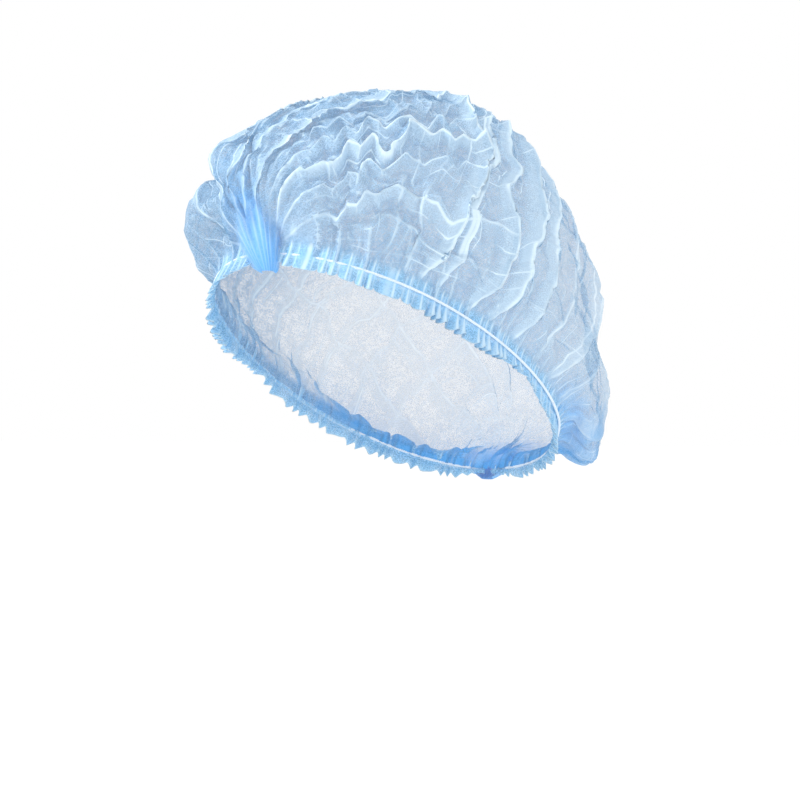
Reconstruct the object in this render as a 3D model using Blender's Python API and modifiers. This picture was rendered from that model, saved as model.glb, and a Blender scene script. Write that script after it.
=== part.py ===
"""Disposable pleated hair cover, worn shape: puffed crown, two ruffled hems with elastic, two gathers."""

import bmesh
import bpy
import numpy as np
from mathutils import Vector

MM = 0.001

# Rim: the closed line the elastic draws the sheet to, flat and tilted down towards the back.
RIM_LENGTH = 0.2172
RIM_LEFT = 0.364 * RIM_LENGTH
RIM_RIGHT = 0.328 * RIM_LENGTH
RIM_TILT = np.radians(28.0)
# Crown: the puffed sheet above the rim.
CROWN_LENGTH = 1.206 * RIM_LENGTH
CROWN_LEFT = 0.421 * RIM_LENGTH
CROWN_RIGHT = 0.428 * RIM_LENGTH
CROWN_HEIGHT = 0.631 * RIM_LENGTH
# Share of the crown's height over which the sheet is drawn in to the rim, at the front and at the rear.
DRAW_IN_FRONT = 0.30
DRAW_IN_REAR = 0.13
DRAW_IN_KNOT = 0.26
# Height share up to which the margin stands straight up from the rim.
DRAW_IN_START = 0.025
DRAW_IN_POWER = 0.8

CLOTH = 1.0 * MM
GAP = 0.3 * MM
# Angle of the seat from the front gather, where the inside of the crown is highest.
SEAT_ALONG = np.radians(61.0)

# Pleats from gather to gather: angle across the crown in degrees (0 on top, plus to the wearer's left), rise as a
# share of FOLD_RISE.
FOLD_RISE = 0.0265 * RIM_LENGTH
PLEAT_COLUMNS = ("across", "rise")
PLEATS = (
    (-81.0, 0.40),
    (-66.0, 1.00),
    (-50.0, 0.55),
    (-35.0, 1.05),
    (-22.0, 0.45),
    (-10.0, 0.80),
    (3.0, 0.45),
    (17.0, 0.95),
    (26.0, 0.45),
    (36.0, 0.55),
    (47.0, 0.95),
    (58.0, 0.55),
    (69.0, 0.80),
    (81.0, 0.40),
)
# How deep the pleats are along the crown: angle from the front gather in degrees, share of each pleat's rise.
DEPTH_COLUMNS = ("along", "share")
PLEAT_DEPTH = (
    (7.0, 0.16),
    (14.0, 0.42),
    (28.0, 1.00),
    (52.0, 0.95),
    (78.0, 0.55),
    (112.0, 0.45),
    (140.0, 0.70),
    (158.0, 0.60),
    (168.0, 0.36),
    (173.0, 0.16),
)
# Larger puffs and dents: across, along and their spreads in degrees, rise as a share of RIM_LENGTH.
PUFF_COLUMNS = ("across", "along", "across_spread", "along_spread", "rise")
PUFFS = (
    (-42.0, 38.0, 22.0, 18.0, 0.030),
    (-78.0, 31.0, 14.0, 20.0, 0.045),
    (0.0, 50.0, 15.0, 22.0, -0.020),
    (58.0, 154.0, 40.0, 18.0, 0.068),
    (-58.0, 154.0, 40.0, 18.0, 0.068),
    (25.0, 125.0, 40.0, 24.0, -0.018),
    (0.0, 152.0, 40.0, 16.0, 0.020),
)
# Folds that run up the sides from the rim, one on every second section row.
SIDE_RISE = 0.0105 * RIM_LENGTH
SIDE_FROM = 20.0
SIDE_FULL = 38.0
SIDE_ALONG = (58.0, 72.0, 140.0, 156.0)
# The pleats lean to the wearer's right as they come down into the front gather.
LEAN = 26.0
LEAN_REACH = 27.0

# The spare cloth at the back hangs down over the rim.
DROOP = 0.052 * RIM_LENGTH
DROOP_SHARE = 0.35
DROOP_FADE = (0.12, 0.70)

PLEAT_STEPS = 4
# One more line close to each rim, where the margin turns up.
RIM_LINE = 87.3
SECTION_ROWS = 32
GATHER_START = 7.0
FLANK_SHARE = 0.55
# The folds fade out over this height above the rim, which keeps the margin under the hem even.
MARGIN_FLAT = 0.046 * RIM_LENGTH
MARGIN_FULL = 0.115 * RIM_LENGTH
PUFF_FLAT = 0.035 * RIM_LENGTH
PUFF_FULL = 0.100 * RIM_LENGTH

# Hem: heading above the elastic, frill below it, ruffles along it.
HEADING = 0.034 * RIM_LENGTH
HEADING_END = 0.3
FRILL_COLUMNS = ("round", "drop")
FRILL = (
    (0.0, 0.024),
    (25.0, 0.028),
    (50.0, 0.040),
    (75.0, 0.045),
    (95.0, 0.030),
    (110.0, 0.044),
    (135.0, 0.040),
    (180.0, 0.030),
)
RUFFLES = 32
RUFFLE_STEPS = 4
RUFFLE_RISE = 0.011 * RIM_LENGTH
HEADING_RISE = 0.35
FRILL_FLARE = 0.005 * RIM_LENGTH
HEM_FROM = 4.5
HEM_TO = 175.5
# The ruffles fade out towards the gathers, from this angle on.
HEM_EVEN = 15.0
HEM_CLEAR = 1.1 * MM

ELASTIC_RADIUS = 0.6 * MM
ELASTIC_STEPS = 54
ELASTIC_FROM = 9.0
ELASTIC_TO = 171.0

# Gathers: the drawn-together ends of the pleats, a ribbed fan down to a blunt tip.
GATHER_DROP = 0.036 * RIM_LENGTH
GATHER_WALL = 2.6 * MM
GATHER_STAND = 5.4 * MM
GATHER_BULGE = 0.010 * RIM_LENGTH
GATHER_RIBS = 9
GATHER_RIB_RISE = 0.0036 * RIM_LENGTH
GATHER_SPREAD = 84.0
GATHER_TIP = 0.20
GATHER_LEAN = 0.020 * RIM_LENGTH
GATHER_ROWS = 5
GATHER_END = 8.5

ALONG_AXIS = np.array((0.0, np.cos(RIM_TILT), -np.sin(RIM_TILT)))
UP_AXIS = np.array((0.0, np.sin(RIM_TILT), np.cos(RIM_TILT)))
SIDE_AXIS = np.array((1.0, 0.0, 0.0))


def ramp(value, low, high):
    """Smooth step from 0 at low to 1 at high."""
    share = np.clip((value - low) / (high - low), 0.0, 1.0)
    return share * share * (3.0 - 2.0 * share)


def column(table, columns, name):
    """One named column of a table."""
    return np.array([row[columns.index(name)] for row in table])


def rim_point(turn, height=0.0, out=0.0):
    """Point near the rim: turn in radians from the front, height above its plane, out square to the rim line."""
    half_width = RIM_LEFT if np.sin(turn) > 0.0 else RIM_RIGHT
    side = half_width * np.sin(turn)
    along = -0.5 * RIM_LENGTH * np.cos(turn)
    normal = np.array((np.sin(turn) / half_width, -2.0 * np.cos(turn) / RIM_LENGTH))
    normal = normal / np.linalg.norm(normal)
    return np.array((side + out * normal[0], along + out * normal[1], height))


def draw_in(rise, turn):
    """Share of the way from the rim line out to the full puff, by height above the rim and turn from the front."""
    back = -np.cos(turn)
    reach = DRAW_IN_FRONT + (DRAW_IN_REAR - DRAW_IN_FRONT) * ramp(back, 0.0, 0.8)
    reach = reach + (DRAW_IN_KNOT - DRAW_IN_REAR) * ramp(back, 0.88, 1.0)
    share = np.clip((rise / CROWN_HEIGHT - DRAW_IN_START) / reach, 0.0, 1.0)
    return (share * share * (3.0 - 2.0 * share)) ** DRAW_IN_POWER


def plain_point(across, along):
    """Crown without its folds. Angles in degrees, result as side, along and up of the rim plane."""
    psi = np.radians(across)
    lam = np.radians(along)
    half_width = CROWN_LEFT if psi > 0.0 else CROWN_RIGHT
    side = half_width * np.sin(lam) * np.sin(psi)
    back = -0.5 * CROWN_LENGTH * np.cos(lam)
    rise = CROWN_HEIGHT * np.sin(lam) * np.cos(psi)
    turn = np.arctan2(side / half_width, -2.0 * back / CROWN_LENGTH)
    rim = rim_point(turn)
    share = draw_in(rise, turn)
    puff = puff_rise(across, along) * ramp(rise, PUFF_FLAT, PUFF_FULL)
    normal = np.array((side / half_width**2, 4.0 * back / CROWN_LENGTH**2, rise / CROWN_HEIGHT**2))
    normal = normal / np.linalg.norm(normal)
    low = ramp(share, DROOP_SHARE, 1.0) * (1.0 - ramp(rise / CROWN_HEIGHT, DROOP_FADE[0], DROOP_FADE[1]))
    quarter = ramp(-np.cos(turn), 0.4, 0.75) * (1.0 - ramp(-np.cos(turn), 0.88, 0.98))
    rise = rise - DROOP * low * quarter
    full = np.array((side, back, rise))
    mixed = np.array((rim[0] + share * (side - rim[0]), rim[1] + share * (back - rim[1]), full[2]))
    return mixed + puff * normal, normal


def puff_rise(across, along):
    """Sum of the larger puffs and dents."""
    total = 0.0
    for row in PUFFS:
        at = dict(zip(PUFF_COLUMNS, row))
        reach = ((across - at["across"]) / at["across_spread"]) ** 2
        reach = reach + ((along - at["along"]) / at["along_spread"]) ** 2
        total = total + at["rise"] * RIM_LENGTH * np.exp(-reach)
    return total


def across_stations():
    """Angle across and fold share of every lengthwise line: valley, flank, ridge and flank of each pleat."""
    ridges = column(PLEATS, PLEAT_COLUMNS, "across")
    rises = column(PLEATS, PLEAT_COLUMNS, "rise")
    valleys = np.concatenate(((-90.0,), 0.5 * (ridges[1:] + ridges[:-1]), (90.0,)))
    angles = []
    shares = []
    for index, ridge in enumerate(ridges):
        low, high = valleys[index], valleys[index + 1]
        angles += [low, 0.5 * (low + ridge), ridge, 0.5 * (ridge + high)]
        shares += [0.0, FLANK_SHARE * rises[index], rises[index], FLANK_SHARE * rises[index]]
    angles = [-90.0, -RIM_LINE] + angles[1:] + [RIM_LINE, 90.0]
    return np.array(angles), np.array([0.0] + shares + [0.0, 0.0])


def crown_point(across, along, share, side_fold=0.0, off=0.0):
    """Point of the crown: a pleat line's angle, the angle along, its fold share and the side fold's sign."""
    lean = LEAN * np.exp(-((along / LEAN_REACH) ** 2)) * np.cos(np.radians(across))
    turned = across - lean
    base, normal = plain_point(turned, along)
    depth = np.interp(along, column(PLEAT_DEPTH, DEPTH_COLUMNS, "along"), column(PLEAT_DEPTH, DEPTH_COLUMNS, "share"))
    height = CROWN_HEIGHT * np.sin(np.radians(along)) * np.cos(np.radians(turned))
    near = ramp(height, MARGIN_FLAT, MARGIN_FULL)
    sides = ramp(abs(across), SIDE_FROM, SIDE_FULL) * ramp(along, SIDE_ALONG[0], SIDE_ALONG[1])
    sides = sides * (1.0 - ramp(along, SIDE_ALONG[2], SIDE_ALONG[3]))
    rise = FOLD_RISE * depth * share + SIDE_RISE * side_fold * sides
    return base + (rise * near + off) * normal


def placed(point):
    """From side, along and up of the rim plane to the part's own frame, whose origin is the seat."""
    at = point[0] * SIDE_AXIS + point[1] * ALONG_AXIS + point[2] * UP_AXIS
    return at - SEAT


def seat_point():
    """Inside of the crown at its highest place on the middle line."""
    angle = np.degrees(SEAT_ALONG)
    angles, shares = across_stations()
    share = np.interp(0.0, angles, shares)
    point = crown_point(0.0, angle, share, 0.0, -0.5 * CLOTH)
    at = point[0] * SIDE_AXIS + point[1] * ALONG_AXIS + point[2] * UP_AXIS
    return np.array((0.0, at[1], at[2]))


SEAT = seat_point()


def sheet(name, columns, rows, place, wall, collection, colour, roughness, offset=0.0):
    """A grid moved onto a surface and given its wall."""
    mesh = bpy.data.meshes.new(name)
    work = bmesh.new()
    bmesh.ops.create_grid(work, x_segments=columns, y_segments=rows, size=0.5)
    for vertex in work.verts:
        column_at = int(round((vertex.co.x + 0.5) * columns))
        row_at = int(round((vertex.co.y + 0.5) * rows))
        vertex.co = placed(place(column_at, row_at))
    bmesh.ops.recalc_face_normals(work, faces=work.faces[:])
    rim_middle = Vector(-SEAT)
    outward = sum(face.normal.dot(face.calc_center_median() - rim_middle) for face in work.faces)
    if outward < 0.0:
        bmesh.ops.reverse_faces(work, faces=work.faces[:])
    bmesh.ops.triangulate(work, faces=work.faces[:], quad_method="SHORT_EDGE")
    work.to_mesh(mesh)
    work.free()
    item = bpy.data.objects.new(name, mesh)
    collection.objects.link(item)
    solid = item.modifiers.new("wall", "SOLIDIFY")
    solid.thickness = wall
    solid.offset = offset
    solid.use_even_offset = False
    finish(item, colour, roughness)
    return item


def finish(item, colour, roughness):
    """Material and smooth shading."""
    material = bpy.data.materials.new(item.name)
    material.use_nodes = True
    shader = material.node_tree.nodes["Principled BSDF"]
    shader.inputs["Base Color"].default_value = colour
    shader.inputs["Roughness"].default_value = roughness
    material.diffuse_color = colour
    item.data.materials.append(material)
    if item.type == "MESH":
        for polygon in item.data.polygons:
            polygon.use_smooth = True


def make_crown(collection):
    """The pleated sheet between the two hems, open over the head."""
    angles, shares = across_stations()
    last = 180.0 - GATHER_START

    def place(column_at, row_at):
        along = GATHER_START + (last - GATHER_START) * row_at / SECTION_ROWS
        fold = 1.0 if row_at % 2 else -0.25
        return crown_point(angles[column_at], along, shares[column_at], fold)

    return sheet("crown", len(angles) - 1, SECTION_ROWS, place, CLOTH, collection, CLOTH_BLUE, 0.8)


def hem_ends(turn):
    """0 at the two gathers, 1 along the rest of the hem."""
    degrees = np.degrees(turn)
    return ramp(degrees, HEM_FROM, HEM_EVEN) * ramp(180.0 - degrees, HEM_FROM, HEM_EVEN)


def hem_height(turn, level):
    """Height above the rim plane at a level: -1 frill edge, 0 elastic, 1 top of the heading."""
    if level >= 0.0:
        return HEADING * level * (HEADING_END + (1.0 - HEADING_END) * hem_ends(turn))
    drop = np.interp(np.degrees(turn), column(FRILL, FRILL_COLUMNS, "round"), column(FRILL, FRILL_COLUMNS, "drop"))
    return level * drop * RIM_LENGTH


def crown_out(turn, height):
    """How far the crown's margin stands out of the rim line at a height above the rim."""
    share = draw_in(max(height, 0.0), turn)
    spare = CROWN_LEFT - RIM_LEFT if np.sin(turn) > 0.0 else CROWN_RIGHT - RIM_RIGHT
    side = spare * np.sin(turn)
    along = 0.5 * (CROWN_LENGTH - RIM_LENGTH) * np.cos(turn)
    return share * np.hypot(side, along)


def margin_offset(turn, height, off):
    """Out and height of a point that stands off the crown's margin, square to its surface."""
    step = 0.5 * MM
    slope = (crown_out(turn, height + step) - crown_out(turn, height)) / step
    stretch = np.hypot(1.0, slope)
    return crown_out(turn, height) + off / stretch, height - off * slope / stretch


def make_hem(name, side, collection):
    """Folded edge: a ruffled strip outside the crown's margin and below it."""
    start = np.radians(HEM_FROM)
    end = np.radians(HEM_TO)
    steps = RUFFLES * RUFFLE_STEPS

    def place(column_at, row_at):
        level = float(row_at - 1)
        turn = start + (end - start) * column_at / steps
        wave = 0.5 - 0.5 * np.cos(2.0 * np.pi * column_at / RUFFLE_STEPS)
        rise = RUFFLE_RISE * wave * (HEADING_RISE if level > 0.0 else abs(level))
        flare = FRILL_FLARE if level < 0.0 else 0.0
        off = CLOTH + HEM_CLEAR + (rise + flare) * hem_ends(turn)
        out, height = margin_offset(side * turn, hem_height(turn, level), off)
        return rim_point(side * turn, height, out)

    return sheet(name, steps, 2, place, CLOTH, collection, HEM_BLUE, 0.75)


def make_elastic(name, side, collection):
    """Thin round elastic lying along the hem, between the heading and the frill."""
    curve = bpy.data.curves.new(name, "CURVE")
    curve.dimensions = "3D"
    curve.bevel_depth = ELASTIC_RADIUS
    curve.bevel_resolution = 2
    curve.use_fill_caps = True
    spline = curve.splines.new("POLY")
    spline.points.add(ELASTIC_STEPS)
    out = 1.5 * CLOTH + HEM_CLEAR + GAP + ELASTIC_RADIUS
    for index in range(ELASTIC_STEPS + 1):
        turn = np.radians(ELASTIC_FROM + (ELASTIC_TO - ELASTIC_FROM) * index / ELASTIC_STEPS)
        at = placed(rim_point(side * turn, 0.0, out))
        spline.points[index].co = (at[0], at[1], at[2], 1.0)
    item = bpy.data.objects.new(name, curve)
    collection.objects.link(item)
    finish(item, ELASTIC_WHITE, 0.6)
    return item


def make_gather(name, front, collection):
    """Ribbed fan of bunched pleats over the crown's end and the hems' ends, down to its tip."""
    steps = 2 * GATHER_RIBS
    along = GATHER_END if front else 180.0 - GATHER_END
    turn = 0.0 if front else np.pi
    outward = rim_point(turn, 0.0, 1.0) - rim_point(turn)
    lean = GATHER_LEAN if front else 0.0
    tip = rim_point(turn, -GATHER_DROP)

    def place(column_at, row_at):
        spread = 2.0 * column_at / steps - 1.0
        share = row_at / GATHER_ROWS
        edge, _ = plain_point(GATHER_SPREAD * spread, along)
        at = tip + (edge - tip) * share
        at[0] = edge[0] * (GATHER_TIP + (1.0 - GATHER_TIP) * share) - lean * share
        rib = 1.0 if column_at % 2 else -1.0
        dome = GATHER_BULGE * 4.0 * share * (1.0 - share) * (1.0 - spread**2)
        return at + outward * (GATHER_STAND + dome + rib * GATHER_RIB_RISE)

    return sheet(name, steps, GATHER_ROWS, place, GATHER_WALL, collection, GATHER_BLUE, 0.8)


CLOTH_BLUE = (0.42, 0.66, 0.90, 1.0)
HEM_BLUE = (0.28, 0.60, 0.90, 1.0)
GATHER_BLUE = (0.06, 0.33, 0.83, 1.0)
ELASTIC_WHITE = (0.93, 0.96, 0.98, 1.0)


def main():
    for item in list(bpy.data.objects):
        bpy.data.objects.remove(item, do_unlink=True)
    collection = bpy.data.collections.new("disposable_hairnet")
    bpy.context.scene.collection.children.link(collection)
    make_crown(collection)
    for side_name, side in (("left", 1.0), ("right", -1.0)):
        make_hem("hem_" + side_name, side, collection)
        make_elastic("elastic_" + side_name, side, collection)
    make_gather("front_gather", True, collection)
    make_gather("rear_gather", False, collection)


main()
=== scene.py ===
"""Disposable pleated hair cover in spun-bonded sheet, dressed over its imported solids."""

from __future__ import annotations

import logging
import math
from dataclasses import dataclass, field
from enum import Enum

import bpy
import numpy as np
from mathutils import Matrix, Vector

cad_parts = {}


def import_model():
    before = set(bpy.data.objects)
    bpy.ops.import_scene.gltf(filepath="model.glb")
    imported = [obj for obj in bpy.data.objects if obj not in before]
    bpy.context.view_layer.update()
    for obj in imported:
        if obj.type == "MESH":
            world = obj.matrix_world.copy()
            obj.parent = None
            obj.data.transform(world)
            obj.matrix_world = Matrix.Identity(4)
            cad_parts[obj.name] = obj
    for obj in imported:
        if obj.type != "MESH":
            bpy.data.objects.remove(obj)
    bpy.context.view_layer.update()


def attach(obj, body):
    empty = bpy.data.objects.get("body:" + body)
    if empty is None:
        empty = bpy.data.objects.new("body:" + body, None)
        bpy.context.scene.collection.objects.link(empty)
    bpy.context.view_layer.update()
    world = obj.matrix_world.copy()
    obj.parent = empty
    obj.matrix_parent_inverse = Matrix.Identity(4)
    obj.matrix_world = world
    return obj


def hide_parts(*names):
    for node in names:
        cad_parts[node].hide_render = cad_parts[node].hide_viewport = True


LOG = logging.getLogger("hairnet")
MM = 0.001
TURN = 2.0 * math.pi
BODY = "root"
FRONT_VIEW_SIZE = 800
TINY = 1e-9
HASH_STEPS = (374761393, 668265263, 1440662683)
HASH_MIX = 1274126177
HASH_MASK = 0xFFFFFFFF
HASH_TOP = 0xFFFF

Colour = tuple[float, float, float, float]
Table = tuple[tuple[float, float], ...]


class Side(Enum):
    """Which half of the cap a piece belongs to, as a sign on the wearer's left to right axis."""

    LEFT = 1.0
    RIGHT = -1.0


class End(Enum):
    """Which end the pleats are drawn together at, as the turn round the rim in radians."""

    FRONT = 0.0
    REAR = math.pi


def ramp(value: np.ndarray | float, low: np.ndarray | float, high: np.ndarray | float) -> np.ndarray:
    """Smooth step from 0 at low to 1 at high.

    Args:
        value: What is tested against the two limits.
        low: Where the step starts.
        high: Where the step ends.

    Returns:
        The step, between 0 and 1.
    """
    share = np.clip((np.asarray(value, dtype=float) - low) / (high - low), 0.0, 1.0)
    return share * share * (3.0 - 2.0 * share)


def plateau(value: np.ndarray, first: float, full: float, still: float, last: float) -> np.ndarray:
    """Rise from 0 at first to 1 at full, and fall from 1 at still to 0 at last."""
    return ramp(value, first, full) * (1.0 - ramp(value, still, last))


def bell(*shares: np.ndarray) -> np.ndarray:
    """Round hump, 1 where every share is 0."""
    return np.exp(-sum(share**2 for share in shares))


def looked_up(value: np.ndarray, table: Table) -> np.ndarray:
    """Values read from a table of places and values, with straight runs between them."""
    return np.interp(value, *zip(*table))


def hashed(cells: np.ndarray, seed: int) -> np.ndarray:
    """Repeatable number from 0 to 1 for each whole-numbered cell.

    Args:
        cells: Whole coordinates, three in the last axis.
        seed: Which of the many patterns is taken.

    Returns:
        One number for each cell.
    """
    mixed = ((cells * np.array(HASH_STEPS)).sum(axis=-1) + seed * HASH_MIX) & HASH_MASK
    mixed = ((mixed ^ (mixed >> 13)) * HASH_MIX) & HASH_MASK
    return ((mixed ^ (mixed >> 16)) & HASH_TOP) / float(HASH_TOP)


def soft_noise(points: np.ndarray, cell: float, seed: int) -> np.ndarray:
    """Smooth random field over points in space.

    Args:
        points: Places, three coordinates in the last axis.
        cell: Size of one swell, in the unit of the points.
        seed: Which of the many patterns is taken.

    Returns:
        The field, between 0 and 1.
    """
    scaled = points / cell
    low = np.floor(scaled).astype(np.int64)
    share = scaled - low
    share = share * share * share * (share * (share * 6.0 - 15.0) + 10.0)
    total = np.zeros(points.shape[:-1])
    for corner in range(8):
        step = np.array([(corner >> axis) & 1 for axis in range(3)])
        weight = np.prod(np.where(step == 1, share, 1.0 - share), axis=-1)
        total += weight * hashed(low + step, seed)
    return total


def ridged(points: np.ndarray, cell: float, seed: int) -> np.ndarray:
    """Field like soft_noise, but 1 along narrow crests, as creases in crushed cloth."""
    return 1.0 - np.abs(2.0 * soft_noise(points, cell, seed) - 1.0) ** 0.8


def zigzag(turns: np.ndarray) -> np.ndarray:
    """Wave of straight runs between -1 and 1, one for each whole turn."""
    return 2.0 / math.pi * np.arcsin(np.sin(TURN * turns))


@dataclass(frozen=True)
class WornForm:
    """The worn cap without its folds: a flat tilted rim and a crown puffed out above it.

    Lengths are shares of rim_length. Puffs are rows of the place across and along the crown and the spread
    each way in degrees, and the rise.
    """

    rim_length: float = 0.2172
    rim_left: float = 0.364
    rim_right: float = 0.328
    tilt: float = math.radians(28.0)
    crown_length: float = 1.206
    crown_left: float = 0.421
    crown_right: float = 0.428
    crown_height: float = 0.631
    draw_front: float = 0.30
    draw_rear: float = 0.13
    draw_knot: float = 0.26
    draw_start: float = 0.025
    draw_power: float = 0.8
    rear_from: tuple[float, float] = (0.0, 0.8)
    knot_from: tuple[float, float] = (0.88, 1.0)
    lean: float = 26.0
    lean_reach: float = 27.0
    droop: float = 0.052
    droop_share: float = 0.35
    droop_fade: tuple[float, float] = (0.12, 0.70)
    droop_span: tuple[float, float, float, float] = (0.4, 0.75, 0.88, 0.98)
    puff_fade: tuple[float, float] = (0.035, 0.100)
    seat: tuple[float, float, float] = (0.0, 0.000308, 0.133028)
    puffs: tuple[tuple[float, float, float, float, float], ...] = (
        (-42.0, 38.0, 22.0, 18.0, 0.030),
        (-78.0, 31.0, 14.0, 20.0, 0.045),
        (0.0, 50.0, 15.0, 22.0, -0.020),
        (58.0, 154.0, 40.0, 18.0, 0.068),
        (-58.0, 154.0, 40.0, 18.0, 0.068),
        (25.0, 125.0, 40.0, 24.0, -0.018),
        (0.0, 152.0, 40.0, 16.0, 0.020),
        (-36.0, 37.0, 9.0, 14.0, -0.020),
        (-48.0, 33.0, 6.0, 12.0, 0.014),
        (-59.0, 40.0, 7.0, 14.0, -0.030),
        (-23.0, 48.0, 10.0, 12.0, -0.012),
        (-4.0, 56.0, 16.0, 12.0, -0.006),
        (30.0, 80.0, 18.0, 14.0, 0.018),
        (48.0, 96.0, 12.0, 9.0, 0.003),
        (60.0, 108.0, 16.0, 8.0, 0.024),
        (64.0, 120.0, 12.0, 5.0, -0.016),
        (66.0, 131.0, 14.0, 8.0, 0.018),
        (71.0, 148.0, 14.0, 9.0, -0.010),
    )

    @property
    def centre(self) -> np.ndarray:
        """Middle of the rim plane."""
        return self.place(np.zeros(3))

    def place(self, local: np.ndarray) -> np.ndarray:
        """Points given as side, along and up of the rim plane, moved to the part's own frame."""
        along_axis = np.array((0.0, math.cos(self.tilt), -math.sin(self.tilt)))
        up_axis = np.array((0.0, math.sin(self.tilt), math.cos(self.tilt)))
        side_axis = np.array((1.0, 0.0, 0.0))
        spot = local[..., :1] * side_axis + local[..., 1:2] * along_axis + local[..., 2:3] * up_axis
        return spot - np.array(self.seat)

    def rim(
        self, turn: np.ndarray, height: np.ndarray | float = 0.0, out: np.ndarray | float = 0.0
    ) -> np.ndarray:
        """Points near the rim line.

        Args:
            turn: Turn round the rim in radians, 0 at the front and plus to the wearer's left.
            height: Height above the rim plane in metres.
            out: How far the point stands out, square to the rim line, in metres.

        Returns:
            Points as side, along and up of the rim plane.
        """
        half = np.where(np.sin(turn) > 0.0, self.rim_left, self.rim_right) * self.rim_length
        side = half * np.sin(turn)
        along = -0.5 * self.rim_length * np.cos(turn)
        normal_side = np.sin(turn) / half
        normal_along = -2.0 * np.cos(turn) / self.rim_length
        size = np.hypot(normal_side, normal_along)
        up = np.broadcast_to(np.asarray(height, dtype=float), side.shape)
        return np.stack((side + out * normal_side / size, along + out * normal_along / size, up), axis=-1)

    def rim_spot(self, turn: np.ndarray, height: float = 0.0, out: np.ndarray | float = 0.0) -> np.ndarray:
        """Points near the rim line, in the part's own frame."""
        return self.place(self.rim(turn, height, out))

    def draw_in(self, rise: np.ndarray, turn: np.ndarray) -> np.ndarray:
        """Share of the way from the rim line out to the full puff."""
        back = -np.cos(turn)
        reach = self.draw_front + (self.draw_rear - self.draw_front) * ramp(back, *self.rear_from)
        reach = reach + (self.draw_knot - self.draw_rear) * ramp(back, *self.knot_from)
        height = self.crown_height * self.rim_length
        return ramp((rise / height - self.draw_start) / reach, 0.0, 1.0) ** self.draw_power

    def margin_out(self, turn: np.ndarray, height: np.ndarray) -> np.ndarray:
        """How far the crown's margin stands out of the rim line at a height above it."""
        share = self.draw_in(np.maximum(height, 0.0), turn)
        left = np.sin(turn) > 0.0
        spare = np.where(left, self.crown_left - self.rim_left, self.crown_right - self.rim_right)
        side = spare * self.rim_length * np.sin(turn)
        along = 0.5 * (self.crown_length - 1.0) * self.rim_length * np.cos(turn)
        return share * np.hypot(side, along)

    def crown(self, across: np.ndarray, along: np.ndarray) -> tuple[np.ndarray, np.ndarray, np.ndarray]:
        """The puffed sheet before its folds.

        Args:
            across: Angle across the crown in degrees, 0 on top and plus to the wearer's left.
            along: Angle from the front gather to the rear one in degrees.

        Returns:
            Points as side, along and up of the rim plane, the turn round the rim and the plain height.
        """
        leaned = across - self.lean * bell(along / self.lean_reach) * np.cos(np.radians(across))
        psi, lam = np.radians(leaned), np.radians(along)
        width = np.where(psi > 0.0, self.crown_left, self.crown_right) * self.rim_length
        length, height = self.crown_length * self.rim_length, self.crown_height * self.rim_length
        side = width * np.sin(lam) * np.sin(psi)
        back = -0.5 * length * np.cos(lam)
        rise = height * np.sin(lam) * np.cos(psi)
        turn = np.arctan2(side / width, -2.0 * back / length)
        rim = self.rim(turn)
        share = self.draw_in(rise, turn)
        normal = unit(np.stack((side / width**2, 4.0 * back / length**2, rise / height**2), axis=-1))
        low_puff, high_puff = (value * self.rim_length for value in self.puff_fade)
        puff = self.puff_rise(leaned, along) * ramp(rise, low_puff, high_puff)
        low = ramp(share, self.droop_share, 1.0) * (1.0 - ramp(rise / height, *self.droop_fade))
        dropped = rise - self.droop * self.rim_length * low * plateau(-np.cos(turn), *self.droop_span)
        drawn = [rim[..., axis] + share * (full - rim[..., axis]) for axis, full in enumerate((side, back))]
        return np.stack((*drawn, dropped), axis=-1) + puff[..., None] * normal, turn, rise

    def puff_rise(self, across: np.ndarray, along: np.ndarray) -> np.ndarray:
        """Sum of the larger puffs and dents, in metres."""
        total = np.zeros(np.broadcast(across, along).shape)
        for at_across, at_along, spread_across, spread_along, rise in self.puffs:
            hump = bell((across - at_across) / spread_across, (along - at_along) / spread_along)
            total += rise * self.rim_length * hump
        return total


@dataclass(frozen=True)
class GatherRhythm:
    """Spacing of the small gathers that the elastic makes round the rim.

    The pitch is a table of degrees and millimetres, and each wobble has a size, a pace and a shift.
    """

    form: WornForm
    pitch: Table = (
        (0.0, 6.0), (20.0, 7.2), (45.0, 7.0), (60.0, 5.2), (85.0, 5.0), (100.0, 8.0),
        (120.0, 7.0), (150.0, 6.0), (180.0, 5.0),
    )
    wobbles: tuple[tuple[float, float, float], ...] = ((0.35, 0.9, 1.0), (0.25, 2.3, 2.0))
    plain_ends: float = 3.0
    samples: int = 2000

    def phase(self, turn: np.ndarray) -> np.ndarray:
        """Number of gathers passed from the front knot to a turn, with the sign of the side."""
        steps = np.linspace(0.0, math.pi, self.samples)
        result = np.zeros(np.shape(turn))
        for side in Side:
            length = run_length(self.form.rim(side.value * steps))
            pitch = looked_up(np.degrees(steps), self.pitch) * MM
            passed = np.cumsum(np.diff(length) / (0.5 * (pitch[1:] + pitch[:-1])))
            count = np.concatenate(((0.0,), passed))
            wobble = sum(size * np.sin(count * pace + shift * side.value) for size, pace, shift in self.wobbles)
            near, far = (ramp(apart, 0.0, self.plain_ends) for apart in (count, count[-1] - count))
            count = count + wobble * near * far
            here = np.sign(turn) == side.value
            result = np.where(here, side.value * np.interp(np.abs(turn), steps, count), result)
        return result


@dataclass(frozen=True)
class Fold:
    """One fold line: its course in degrees over its stations, its crest height and its lean."""

    course: Table
    rise: float = 0.0
    lean: float = 0.0
    share: float = 1.0
    bright: float = 0.6
    span: tuple[float, float, float, float] = (-200.0, -199.0, 199.0, 200.0)


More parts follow.
